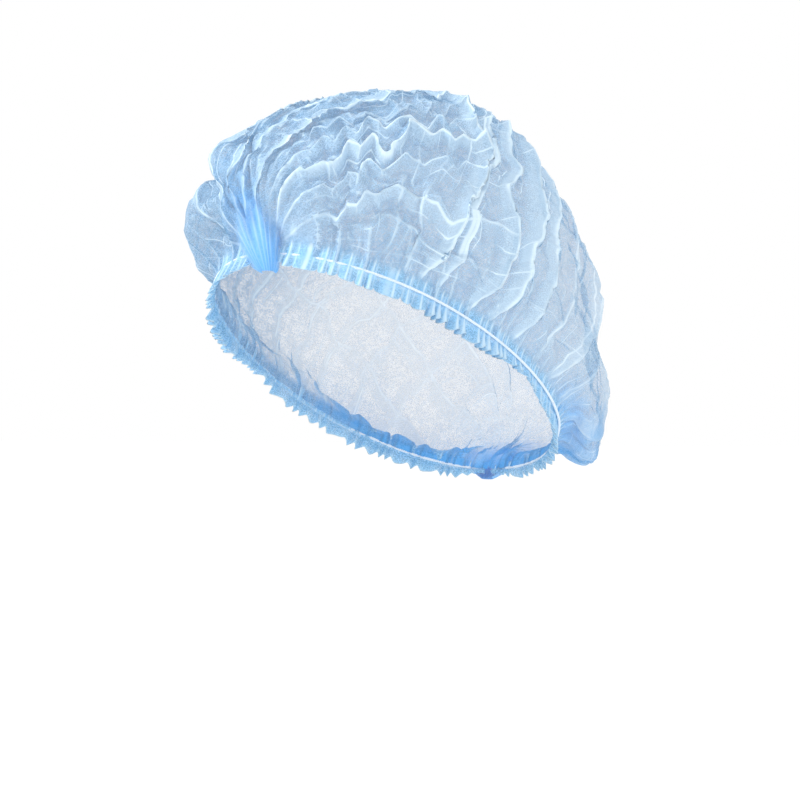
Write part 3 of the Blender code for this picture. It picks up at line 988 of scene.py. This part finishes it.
        pleat_fine, pleat_turns, pleat_mark = self.fine(base, pleat_phase * 2.0 + 0.5, 61, self.pleat_fine)
        fold_fine, fold_turns, fold_mark = self.fine(base, fold_phase * 2.4 + 0.3, 71, self.fold_fine)
        facets = self.facet_rise * self.crushed(wide, tall) * self.kinks(wide, tall) * zigzag(pleat_phase + 0.25)
        away = plateau(tall, 10.0, 30.0, 160.0, 174.0)
        relief = (pleat_fine * depths * near + fold_fine * fold_ends * near + facets) * away
        relief = relief + self.crumple(base) * ramp(height, 6.0 * MM, 30.0 * MM) * away
        relief = relief + self.gathers(turn, height, base) + self.bunched(wide, tall) * near
        layers = np.maximum(pleat_layers * depths * near, fold_layers * over_top * fold_ends * off_rim)
        layers = np.maximum(layers, self.flap(base))
        points = base + offset + (relief * (1.0 - 0.7 * layers))[..., None] * normal
        free = ramp(height, 4.0 * MM, 16.0 * MM) * away * (1.0 - 0.85 * layers)
        points = points + self.settling.moved(points, free)

        piece = GridPiece("crown_sheet", points, self.flat_map(base))
        margin = fold_ends * off_rim
        pleat_bright = np.maximum(pleat_bright, 0.0) * ramp(height, 2.0 * MM, 9.0 * MM) * ramp(tall, 3.0, 7.0)
        pleat_mark = pleat_mark * ramp(height, 2.0 * MM, 12.0 * MM) * ramp(tall, 4.0, 12.0) * (0.3 + 0.7 * depths)
        reach = (5.0 + 20.0 * soft_noise(self.form.rim_spot(turn), 6.0 * MM, 81)) * MM
        slant = 0.6 * (soft_noise(base, 10.0 * MM, 82) - 0.5)
        rim_near = 0.8 * (1.0 - ramp(height, 0.5 * reach, reach))
        piece.store(
            pleat=self.line_values(base, pleat_phase, pleat_bright, 1, pleat_lean),
            fold=self.line_values(base, fold_phase, fold_bright * margin, 0, fold_lean),
            packed_pleat=self.line_values(base, pleat_turns, pleat_mark, 1),
            packed_fold=self.line_values(base, fold_turns, fold_mark * margin, 0),
            layers=layers,
            gather=self.line_values(points, self.rhythm.phase(turn) + slant, rim_near, 1),
            # curvature, which the material turns into painted highlight on crests and painted shade in valleys
            crest=self.crest(points) * ramp(tall, 8.0, 20.0),
            depth=self.depth(base, height, turn),
            fade=self.fade(base, height, tall),
        )
        return piece

    def fade(self, base: np.ndarray, height: np.ndarray, tall: np.ndarray) -> np.ndarray:
        """How much thinner the sheet looks, most over the back and least at the rim."""
        rear = 0.46 * ramp(tall, 74.0, 118.0) * (1.0 - 0.9 * bell(height / (24.0 * MM)))
        return rear + 0.10 * soft_noise(base, 30.0 * MM, 91)

    def flap(self, base: np.ndarray) -> np.ndarray:
        """Where spare cloth lies doubled beside the front knot, on the wearer's left, from 0 to 1."""
        away = base - self.form.rim_spot(np.array(End.FRONT.value))
        near = bell((away[..., 0] - 11.0 * MM) / (10.0 * MM), (away[..., 2] - 9.0 * MM) / (10.0 * MM))
        uneven = 0.35 + 0.65 * ramp(soft_noise(base, 4.0 * MM, 93), 0.35, 0.6)
        return 1.2 * near * uneven * ramp(-away[..., 1], -40.0 * MM, -20.0 * MM)

    def fine(
        self, base: np.ndarray, phase: np.ndarray, seed: int, rise: float
    ) -> tuple[np.ndarray, np.ndarray, np.ndarray]:
        """Narrow creases left by the packing fold.

        Args:
            base: Places of the plain sheet.
            phase: Number of the crease that each point lies on.
            seed: Which of the many patterns is taken.
            rise: Height of the strongest crease in metres.

        Returns:
            Height in metres, the number of the crease with its share, and how bright the crease is from 0 to 1.
        """
        turns = phase + 0.35 * (soft_noise(base, 16.0 * MM, seed) - 0.5)
        nearest = np.rint(turns)
        there = ramp(soft_noise(base + 3.0 * MM * nearest[..., None], 18.0 * MM, seed + 1), 0.42, 0.62)
        shape = np.clip(1.0 - np.abs(turns - nearest) / self.fine_width, 0.0, 1.0) ** 1.2
        return rise * shape * there, turns, there

    def bunched(self, wide: np.ndarray, tall: np.ndarray) -> np.ndarray:
        """Fine ribs where the pleats run into the two knots, in metres."""
        front = plateau(tall, 4.0, 9.0, 14.0, 32.0)
        rear = plateau(180.0 - tall, 4.0, 9.0, 12.0, 24.0)
        ribs = zigzag(wide / 11.0 + 0.22 * np.sin(wide / 7.0) + 0.02 * tall)
        return self.rib_rise * ribs * np.maximum(front, rear)

    def crumple(self, base: np.ndarray) -> np.ndarray:
        """Small creases and dents of crushed cloth, in metres."""
        drift = np.stack([soft_noise(base, 26.0 * MM, seed) for seed in (5, 6, 7)], axis=-1) - 0.5
        warp = base + 9.0 * MM * drift
        coarse = (soft_noise(warp, 30.0 * MM, 11) - 0.5) * 4.0 * MM
        middle = (ridged(warp, 15.0 * MM, 12) - 0.6) * 1.3 * MM
        fine = (ridged(warp, 7.0 * MM, 13) - 0.6) * 0.35 * MM
        amount = 0.35 + 0.9 * ramp(soft_noise(base, 38.0 * MM, 14), 0.35, 0.65)
        return coarse + (middle + fine) * amount

    def crest(self, points: np.ndarray) -> np.ndarray:
        """How sharply the sheet bends outwards at each point, from -1 in valleys to 1 on crests."""
        normal = outward(points, self.form.centre)
        total = np.zeros(points.shape[:2])
        for axis in (0, 1):
            bend = np.gradient(np.gradient(points, axis=axis), axis=axis)
            total -= np.sum(bend * normal, axis=-1) / np.maximum(step_length(points, axis), 0.5 * MM) ** 2
        return np.clip(total * self.crest_radius, -1.0, 1.0)

    def line_values(
        self, points: np.ndarray, phase: np.ndarray, bright: np.ndarray, axis: int, lean: np.ndarray | float = 0.0
    ) -> np.ndarray:
        """Phase, spacing and strength of a family's crest lines, for the material.

        Args:
            points: Rows by columns of places in metres.
            phase: Number of the line that each point lies on.
            bright: How bright the line is.
            axis: Which way of the grid crosses the lines.
            lean: How far the folds lie over, which turns part of the crest out of sight.

        Returns:
            Three numbers for each point.
        """
        slope = np.maximum(np.abs(np.gradient(phase, axis=axis)), 1e-5)
        spacing = np.clip(step_length(points, axis) / slope, *self.spacing_limits) / (1.0 + 0.55 * np.abs(lean))
        patchy = 0.5 + 0.5 * ramp(soft_noise(points, 12.0 * MM, 31 + axis), 0.30, 0.6)
        return np.stack((phase, spacing, bright * patchy), axis=-1)

    def gathers(self, turn: np.ndarray, height: np.ndarray, base: np.ndarray) -> np.ndarray:
        """Small ripples that the elastic sends up the margin, in metres."""
        phase = self.rhythm.phase(turn)
        uneven = 0.4 + 1.2 * soft_noise(base, 14.0 * MM, 21)
        short = (np.abs(np.cos(math.pi * phase)) ** 0.7 - 0.5) * 1.2 * MM * np.exp(-height / (12.0 * MM))
        middle = 1.0 - np.abs(np.sin(0.5 * math.pi * phase + 0.7 + 0.8 * np.sin(0.31 * phase)))
        middle = (middle - 0.4) * 2.4 * MM * bell((height - 12.0 * MM) / (12.0 * MM))
        long = 1.0 - np.abs(np.sin(0.25 * math.pi * phase + 0.4 + 0.9 * np.sin(0.23 * phase)))
        long = (long - 0.4) * 3.0 * MM * bell((height - 28.0 * MM) / (18.0 * MM))
        return (short + middle + long) * uneven

    def depth(self, base: np.ndarray, height: np.ndarray, turn: np.ndarray) -> np.ndarray:
        """How much bunched cloth deepens the colour."""
        knot = self.form.rim_spot(np.array(End.FRONT.value), 12.0 * MM)
        rear = self.form.rim_spot(np.array(End.REAR.value), 6.0 * MM)
        away = base - (knot + np.array((-9.0 * MM, 0.0, 0.0)))
        lengthwise = 0.88 * away[..., 2] - 0.47 * away[..., 0]
        crosswise = 0.88 * away[..., 0] + 0.47 * away[..., 2]
        ahead = ramp(-away[..., 1], -60.0 * MM, -30.0 * MM)
        near_front = ahead * bell(lengthwise / (27.0 * MM), crosswise / (9.5 * MM))
        near_rear = bell(np.linalg.norm(base - rear, axis=-1) / (20.0 * MM))
        behind = ramp(-np.cos(turn), 0.1, 0.7)
        margin = (0.14 + 0.75 * behind) * bell(height / ((10.0 + 14.0 * behind) * MM))
        streaks = 0.65 + 0.7 * soft_noise(base, 5.0 * MM, 51)
        return np.clip((0.85 * near_front + 0.5 * near_rear + margin) * streaks, 0.0, 1.0)


@dataclass(frozen=True)
class Hem:
    """One long edge: heading, elastic line and ruffled frill, folded back inside."""

    form: WornForm
    rhythm: GatherRhythm
    side: Side
    columns: int = 620
    start: float = math.radians(1.5)
    end: float = math.radians(178.5)
    heading: float = 8.6 * MM
    clear: float = 0.7 * MM
    fullness: float = 1.7
    frill: Table = (
        (0.0, 7.0), (15.0, 8.6), (30.0, 9.4), (50.0, 9.8), (72.0, 10.0), (84.0, 6.5),
        (92.0, 4.5), (100.0, 9.0), (120.0, 9.0), (150.0, 7.0), (180.0, 5.0),
    )
    boxy_span: tuple[float, float, float, float] = (46.0, 56.0, 86.0, 92.0)
    right_strength: float = 0.7
    levels_above: int = 9
    levels_below: int = 11
    levels_back: int = 9
    spacing_limits: tuple[float, float] = (2.0 * MM, 12.0 * MM)

    def build(self) -> GridPiece:
        """Makes the hem as one folded strip."""
        turn = self.side.value * np.linspace(self.start, self.end, self.columns)
        degrees = np.abs(np.degrees(turn))
        ends = ramp(degrees, 2.5, 9.0) * ramp(180.0 - degrees, 4.5, 15.0)
        above = np.linspace(1.0, 0.0, self.levels_above, endpoint=False)
        below = np.linspace(0.0, -1.0, self.levels_below, endpoint=False)
        levels = np.concatenate((above, below, np.linspace(-1.0, -1.8, self.levels_back)))
        phase = self.rhythm.phase(turn)
        drop = looked_up(degrees, self.frill) * MM * (0.55 + 0.45 * ends)
        place = self.form.rim_spot(turn)
        uneven = 0.6 + 0.8 * soft_noise(place, 11.0 * MM, 41 + int(self.side.value))
        run = run_length(place)
        strips = [self.strip(level, turn, TURN * phase, drop, ends, uneven) for level in levels]
        points = self.form.place(np.stack(strips))
        flat = np.stack(np.broadcast_arrays(run * self.fullness, levels[:, None] * self.heading), axis=-1)
        if self.side is Side.RIGHT:
            points, flat, phase = points[:, ::-1], flat[:, ::-1], phase[::-1]
        piece = GridPiece("hem_" + self.side.name.lower() + "_sheet", points[::-1], flat[::-1])
        apart = np.gradient(run) / np.maximum(np.abs(np.gradient(phase)), 1e-5)
        tall, spacing, phase = np.broadcast_arrays(levels[::-1, None], np.clip(apart, *self.spacing_limits), phase)
        strength = 0.9 * (1.0 - ramp(np.abs(tall + 0.1), 0.75, 1.1))
        edge = np.where(tall < -0.5, tall + 1.0, 0.4)
        dense = (0.5 + 0.5 * np.cos(TURN * phase + 0.8)) ** 1.5 * (1.0 - ramp(tall, 0.3, 0.9))
        piece.store(
            gather=np.stack((phase, spacing, strength), axis=-1),
            pleat=np.stack((2.0 * phase + 0.37 * np.sin(phase * 1.7), 0.5 * spacing, 0.6 * strength), axis=-1),
            fold=np.stack((edge, np.full(tall.shape, 9.0 * MM), np.full(tall.shape, 0.9)), axis=-1),
            depth=0.04 + 0.22 * bell((tall - 0.05) / 0.30) + 0.20 * dense,
            fade=0.9 * ramp(tall, 0.4, 1.0),
        )
        return piece

    def strip(
        self, level: float, turn: np.ndarray, sway: np.ndarray, drop: np.ndarray, ends: np.ndarray, uneven: np.ndarray
    ) -> np.ndarray:
        """One lengthwise line of the hem.

        Args:
            level: 1 at the top of the heading, 0 on the elastic, -1 at the frill's fold, less on the way back inside.
            turn: Turn round the rim of each point.
            sway: Phase of the gathers in radians.
            drop: Depth of the frill.
            ends: 0 at the knots and 1 between them.
            uneven: How strong each gather is.

        Returns:
            Points as side, along and up of the rim plane.
        """
        boxy = plateau(np.abs(np.degrees(turn)), *self.boxy_span)
        strong = 1.0 if self.side is Side.LEFT else self.right_strength
        if level >= 0.0:
            height = self.heading * level * (0.3 + 0.7 * ends)
            ripple = (0.40 + 0.25 * level) * MM
            out = self.form.margin_out(turn, height) + self.clear
            pinch = 0.0
        else:
            lobe = np.abs(np.cos(0.5 * sway)) ** 0.9
            saw = 0.5 + 0.5 * np.sin(sway + 0.5 * np.sin(sway))
            reach = -level if level > -1.0 else 2.0 + level
            edge = 1.0 - strong * ((1.0 - boxy) * 0.36 * (1.0 - lobe) + boxy * 0.30 * saw)
            height = -drop * reach**0.9 * (1.0 + (edge * uneven**0.25 - 1.0) * reach)
            ripple = (0.40 + strong * (1.2 + 0.5 * boxy) * reach) * MM
            inside = min(1.0, max(0.0, -1.0 - level) / 0.8)
            out = self.clear + 0.9 * MM * reach - (0.9 * math.sin(math.pi * inside) + 0.5 * inside) * MM
            pinch = strong * (0.5 + 0.8 * boxy) * MM * reach
        swing = ripple * np.cos(sway) * uneven * ends
        slide = pinch * np.sin(sway) * ends * uneven / self.form.rim_length * 2.0
        return self.form.rim(turn + self.side.value * slide, height, out + swing)


@dataclass(frozen=True)
class Gather:
    """Drawn-together end of the pleats: uneven ribs that fan up from a blunt tip and run under the crown.

    Drop is how far the tip hangs below the rim plane, and shift is how far the fan leans to the right.
    """

    form: WornForm
    end: End
    drop: float = 10.5 * MM
    shift: float = 11.0 * MM
    deep: float = 0.95
    rows: int = 44
    columns: int = 170
    spread: float = 78.0
    along: float = 11.5
    stand: float = 3.4 * MM
    tuck: float = 1.6 * MM
    tip: float = 0.24
    rib_rise: float = 1.1 * MM
    rib_spacing: float = 2.2 * MM
    hidden: float = 0.97
    flat_size: tuple[float, float] = (30.0 * MM, 25.0 * MM)
    ribs: tuple[float, ...] = (-1.0, -0.78, -0.61, -0.40, -0.27, -0.06, 0.10, 0.31, 0.47, 0.70, 0.84, 1.0)

    def fan(self, share: np.ndarray, spread: np.ndarray) -> np.ndarray:
        """Plain fan from the tip to the crown's surface, as side, along and up of the rim plane."""
        station = self.along if self.end is End.FRONT else 180.0 - self.along
        tip = self.form.rim(np.array(self.end.value), -self.drop)
        wide = self.spread * spread
        nod = self.form.lean * math.exp(-((station / self.form.lean_reach) ** 2))
        edge, _, _ = self.form.crown(wide + nod * np.cos(np.radians(wide)), np.full_like(wide, station))
        fan = tip + (edge - tip) * share[..., None]
        narrow = self.tip + (1.0 - self.tip) * share**0.75
        ragged = 1.0 + 0.10 * np.sin(9.0 * spread + 1.0) * (1.0 - share)
        fan[..., 0] = edge[..., 0] * narrow - self.shift * share + 0.4 * self.shift * (1.0 - share)
        fan[..., 2] = tip[..., 2] + (fan[..., 2] - tip[..., 2]) * np.where(share < 1.0, ragged, 1.0)
        return fan

    def build(self) -> GridPiece:
        """Makes the ribbed fan."""
        share = np.linspace(0.0, 1.0, self.rows)[:, None]
        spread = np.linspace(-1.0, 1.0, self.columns)[None, :]
        turn = np.array(self.end.value)
        outwards = self.form.rim(turn, 0.0, 1.0) - self.form.rim(turn)
        phase = np.interp(spread, self.ribs, np.arange(len(self.ribs)))
        number = np.rint(phase).astype(int)
        cells = np.stack((number, number * 0, number * 0), axis=-1)
        rib = 1.0 - 2.0 * np.abs(phase - number)
        height = self.rib_rise * (0.6 + 0.8 * hashed(cells, 5))
        sides = 1.0 - np.abs(spread) ** 3
        lift = self.stand * np.sin(math.pi * np.clip(share * 0.75 + 0.25, 0.0, 1.0)) ** 0.7
        lift = lift * sides - self.tuck * (ramp(share, 0.7, 1.0) + (1.0 - sides) * share)
        lift = lift + (rib - 0.4) * height * (0.5 + 0.5 * share) * sides
        points = self.form.place(self.fan(share, spread) + outwards * lift[..., None])
        wide, high = self.flat_size
        flat = np.stack(np.broadcast_arrays(spread * wide, share * high), axis=-1)
        uneven = share + 0.30 * (hashed(cells, 9) - 0.5)
        sides_gone = ramp(np.abs(spread), 0.52, 1.0) * ramp(share, 0.05, 0.5)
        fade = self.hidden * np.maximum(ramp(uneven, 0.34, 0.92), sides_gone)
        fade = np.where(share > 0.92, self.hidden, fade)
        phase, share, _ = np.broadcast_arrays(phase, share, fade)
        if self.end is End.REAR:
            points, flat, phase, fade = points[:, ::-1], flat[:, ::-1], phase[:, ::-1], fade[:, ::-1]
        piece = GridPiece(self.end.name.lower() + "_gather_sheet", points, flat)
        spacing = np.full(share.shape, self.rib_spacing)
        piece.store(
            pleat=np.stack((phase, spacing, 0.35 + 0.4 * share), axis=-1), depth=self.deep - 0.65 * share, fade=fade
        )
        return piece


@dataclass(frozen=True)
class Elastic:
    """Covered elastic: twisted strands along the rim, made by a tree of geometry nodes."""

    form: WornForm
    side: Side
    strands: int = 3
    strand_radius: float = 0.37 * MM
    core_radius: float = 0.35 * MM
    twist_pitch: float = 3.2 * MM
    step: float = 0.5 * MM
    ring_points: int = 7
    start: float = math.radians(5.0)
    end: float = math.radians(172.0)
    points: int = 240
    stand_out: Table = ((0.0, 0.1), (30.0, 0.4), (54.0, 1.9), (120.0, 1.9), (134.0, 0.8), (180.0, 0.5))

    @property
    def sizes(self) -> dict[str, float]:
        """The tree's inputs and their values."""
        return {
            "Strand Radius": self.strand_radius,
            "Core Radius": self.core_radius,
            "Twist Pitch": self.twist_pitch,
            "Step": self.step,
        }

    def tree(self, material: bpy.types.Material) -> bpy.types.NodeTree:
        """Builds the tree that winds the strands round the line it is given."""
        tree = bpy.data.node_groups.new("covered_elastic", "GeometryNodeTree")
        tree.interface.new_socket(name="Geometry", in_out="INPUT", socket_type="NodeSocketGeometry")
        for name in self.sizes:
            tree.interface.new_socket(name=name, in_out="INPUT", socket_type="NodeSocketFloat")
        tree.interface.new_socket(name="Geometry", in_out="OUTPUT", socket_type="NodeSocketGeometry")
        wire = Wiring(tree)
        source = wire.add("NodeGroupInput").outputs
        line = wire.add("GeometryNodeMeshToCurve", Mesh=source["Geometry"])
        even = wire.add(
            "GeometryNodeResampleCurve", {"mode": "LENGTH"}, Curve=line.outputs["Curve"], Length=source["Step"]
        )
        join = wire.add("GeometryNodeJoinGeometry")
        for strand in range(self.strands):
            wire.feed(join.inputs["Geometry"], self.strand(wire, source, even.outputs["Curve"], strand))
        real = wire.add("GeometryNodeRealizeInstances", Geometry=join.outputs["Geometry"])
        paint = wire.add("GeometryNodeSetMaterial", Geometry=real.outputs["Geometry"], Material=material)
        wire.add("NodeGroupOutput", Geometry=paint.outputs["Geometry"])
        return tree

    def strand(
        self, wire: Wiring, source: bpy.types.bpy_prop_collection, curve: bpy.types.NodeSocket, number: int
    ) -> bpy.types.NodeSocket:
        """One strand wound round the line.

        Args:
            wire: Wiring of the tree.
            source: The tree's inputs.
            curve: The line.
            number: Which of the strands is made.

        Returns:
            The socket with the strand's mesh.
        """
        length = wire.add("GeometryNodeSplineParameter").outputs["Length"]
        turns = wire.math("DIVIDE", length, source["Twist Pitch"])
        angle = wire.math("MULTIPLY_ADD", turns, TURN, TURN * number / self.strands)
        normal = wire.add("GeometryNodeInputNormal").outputs["Normal"]
        tangent = wire.add("GeometryNodeInputTangent").outputs["Tangent"]
        other = wire.vectors("CROSS_PRODUCT", normal, tangent)
        parts = [
            wire.scaled(direction, wire.times(wire.math(wave, angle), source["Core Radius"]))
            for direction, wave in ((normal, "COSINE"), (other, "SINE"))
        ]
        move = wire.add("GeometryNodeSetPosition", Geometry=curve, Offset=wire.vectors("ADD", *parts))
        ring = wire.add(
            "GeometryNodeCurvePrimitiveCircle", Resolution=self.ring_points, Radius=source["Strand Radius"]
        )
        profile = {"Profile Curve": ring.outputs["Curve"], "Fill Caps": True}
        tube = wire.add("GeometryNodeCurveToMesh", Curve=move.outputs["Geometry"], **profile)
        return wire.add("GeometryNodeSetShadeSmooth", Geometry=tube.outputs["Mesh"]).outputs["Geometry"]

    def build(self, material: bpy.types.Material) -> bpy.types.Object:
        """Makes the elastic as a plain mesh."""
        turn = self.side.value * np.linspace(self.start, self.end, self.points)
        line = self.form.rim_spot(turn, 0.0, looked_up(np.abs(np.degrees(turn)), self.stand_out) * MM)
        mesh = bpy.data.meshes.new("elastic_line")
        mesh.from_pydata(line.tolist(), [(index, index + 1) for index in range(self.points - 1)], [])
        guide = linked("elastic_line", mesh)
        tree = self.tree(material)
        modifier = guide.modifiers.new("wind", "NODES")
        modifier.node_group = tree
        for socket in tree.interface.items_tree:
            if socket.item_type == "SOCKET" and socket.name in self.sizes:
                modifier[socket.identifier] = self.sizes[socket.name]
        graph = bpy.context.evaluated_depsgraph_get()
        made = bpy.data.meshes.new_from_object(guide.evaluated_get(graph))
        made.name = "elastic_" + self.side.name.lower() + "_cover"
        bpy.data.objects.remove(guide, do_unlink=True)
        return linked(made.name, made)


@dataclass(frozen=True)
class ElasticFinish:
    """White covered thread with the shade between its hairs."""

    name: str = "covered_elastic_white"
    colour: Colour = (0.93, 0.96, 0.99, 1.0)
    shade: Colour = (0.66, 0.80, 0.95, 1.0)
    hair_scale: float = 2600.0
    roughness: float = 0.55
    relief: float = 0.05 * MM

    def build(self) -> bpy.types.Material:
        """Makes the material."""
        material, shader, wire = plain_material(self.name)
        hair = wire.step(wire.noise(wire.place(), self.hair_scale), 0.35, 0.65)
        wire.feed(shader.inputs["Base Color"], wire.mix(hair, self.shade, self.colour))
        shader.inputs["Roughness"].default_value = self.roughness
        wire.bump(shader, hair, self.relief)
        return material


@dataclass(frozen=True)
class Lamp:
    """One soft lamp: its place, size and power."""

    name: str
    place: tuple[float, float, float]
    size: float
    power: float


@dataclass(frozen=True)
class Studio:
    """Pale floor, soft light and the camera, with the scale in pixels a millimetre."""

    azimuth: float = math.radians(33.4)
    distance: float = 1.6
    scale: float = 2.055
    sensor: float = 36.0
    target: tuple[float, float, float] = (0.00366, 0.0090, -0.1493)
    floor_level: float = -0.30
    floor_half: float = 8.0
    floor_colour: Colour = (0.20, 0.20, 0.20, 1.0)
    floor_glow: float = 0.87
    white: Colour = (1.0, 1.0, 1.0, 1.0)
    sky: Colour = (0.93, 0.96, 1.0, 1.0)
    sky_light: float = 0.68
    see_through_layers: int = 32
    lamps: tuple[Lamp, ...] = (
        Lamp("key", (-1.1, -1.2, 0.95), 0.5, 26.0),
        Lamp("fill", (1.5, -0.9, 0.25), 1.0, 10.0),
        Lamp("top", (0.1, 0.4, 1.5), 1.2, 10.0),
    )

    def aim(self, item: bpy.types.Object, place: Vector) -> None:
        """Puts a lamp or camera at a place, turned to the cap."""
        item.location = place
        item.rotation_mode = "QUATERNION"
        item.rotation_quaternion = (Vector(self.target) - place).to_track_quat("-Z", "Y")

    def camera(self) -> None:
        """Places the camera level, in front of the wearer's left."""
        lens = bpy.data.cameras.new("camera")
        lens.sensor_width = self.sensor
        lens.lens = self.sensor * self.distance / (FRONT_VIEW_SIZE / self.scale * MM)
        lens.clip_start = 0.05
        lens.clip_end = 60.0
        item = linked("camera", lens)
        back = Vector((math.sin(self.azimuth), -math.cos(self.azimuth), 0.0))
        self.aim(item, Vector(self.target) + back * self.distance)
        bpy.context.scene.camera = item

    def light(self, lamp: Lamp) -> None:
        """Adds one soft lamp aimed at the cap."""
        data = bpy.data.lights.new(lamp.name, "AREA")
        data.size = lamp.size
        data.energy = lamp.power
        self.aim(linked(lamp.name, data), Vector(lamp.place))

    def world(self) -> None:
        """White surround, brighter to the eye than as a light."""
        world = bpy.data.worlds.new("surround")
        world.use_nodes = True
        world.node_tree.nodes.clear()
        wire = Wiring(world.node_tree)
        soft, seen = (
            wire.add("ShaderNodeBackground", Color=colour, Strength=strength).outputs[0]
            for colour, strength in ((self.sky, self.sky_light), (self.white, 1.0))
        )
        mix = wire.add("ShaderNodeMixShader")
        straight = wire.add("ShaderNodeLightPath").outputs["Is Camera Ray"]
        for socket, value in zip(mix.inputs, (straight, soft, seen)):
            wire.feed(socket, value)
        wire.add("ShaderNodeOutputWorld", Surface=mix.outputs[0])
        bpy.context.scene.world = world

    def floor(self) -> None:
        """Plain pale ground under the cap."""
        mesh = bpy.data.meshes.new("floor")
        signs = ((-1.0, -1.0), (1.0, -1.0), (1.0, 1.0), (-1.0, 1.0))
        corners = [(east * self.floor_half, north * self.floor_half, self.floor_level) for east, north in signs]
        mesh.from_pydata(corners, [], [(0, 1, 2, 3)])
        item = linked("floor", mesh)
        material, shader, _ = plain_material("pale_floor")
        shader.inputs["Base Color"].default_value = self.floor_colour
        shader.inputs["Roughness"].default_value = 0.9
        shader.inputs["Emission Color"].default_value = self.white
        shader.inputs["Emission Strength"].default_value = self.floor_glow
        mesh.materials.append(material)

    def build(self) -> None:
        """Sets the whole stage."""
        self.camera()
        self.world()
        self.floor()
        for lamp in self.lamps:
            self.light(lamp)
        scene = bpy.context.scene
        scene.view_settings.view_transform = "Standard"
        scene.cycles.transparent_max_bounces = self.see_through_layers


def main() -> None:
    """Builds every piece in order and says what each one is."""
    logging.basicConfig(level=logging.INFO, format="%(name)s: %(message)s")
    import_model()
    Studio().build()
    form = WornForm()
    rhythm = GatherRhythm(form)
    web, crease = web_group(), crease_group()
    finishes = (
        SheetFinish("nonwoven_sheet_blue"),
        SheetFinish("nonwoven_hem_blue", thin=(0.27, 0.58, 0.86, 1.0), deep=(0.12, 0.50, 0.92, 1.0)),
        SheetFinish(
            "nonwoven_gather_blue", thin=(0.24, 0.54, 0.90, 1.0), deep=(0.09, 0.40, 0.88, 1.0), closed=0.42
        ),
    )
    crown_cloth, hem_cloth, gather_cloth = (finish.build(web, crease) for finish in finishes)
    thread = ElasticFinish().build()

    crown = Crown(form, rhythm).build()
    crown.mesh.materials.append(crown_cloth)
    pieces: list[tuple[bpy.types.Object, str, str]] = [(crown.item, "crown", "nonwoven_sheet")]
    for side in Side:
        hem = Hem(form, rhythm, side).build()
        hem.mesh.materials.append(hem_cloth)
        pieces.append((hem.item, "hem_" + side.name.lower(), "nonwoven_hem"))
        elastic = Elastic(form, side).build(thread)
        pieces.append((elastic, "elastic_" + side.name.lower(), "covered_elastic"))
    for shape in (Gather(form, End.FRONT), Gather(form, End.REAR, drop=5.0 * MM, shift=0.0, deep=0.7)):
        gather = shape.build()
        gather.mesh.materials.append(gather_cloth)
        pieces.append((gather.item, shape.end.name.lower() + "_gather", "nonwoven_gather"))
    for item, node, slot in pieces:
        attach(item, BODY)
        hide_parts(node)
        LOG.info("%s stands for %s with %d faces", item.name, node, len(item.data.polygons))


if __name__ == "__main__":
    main()
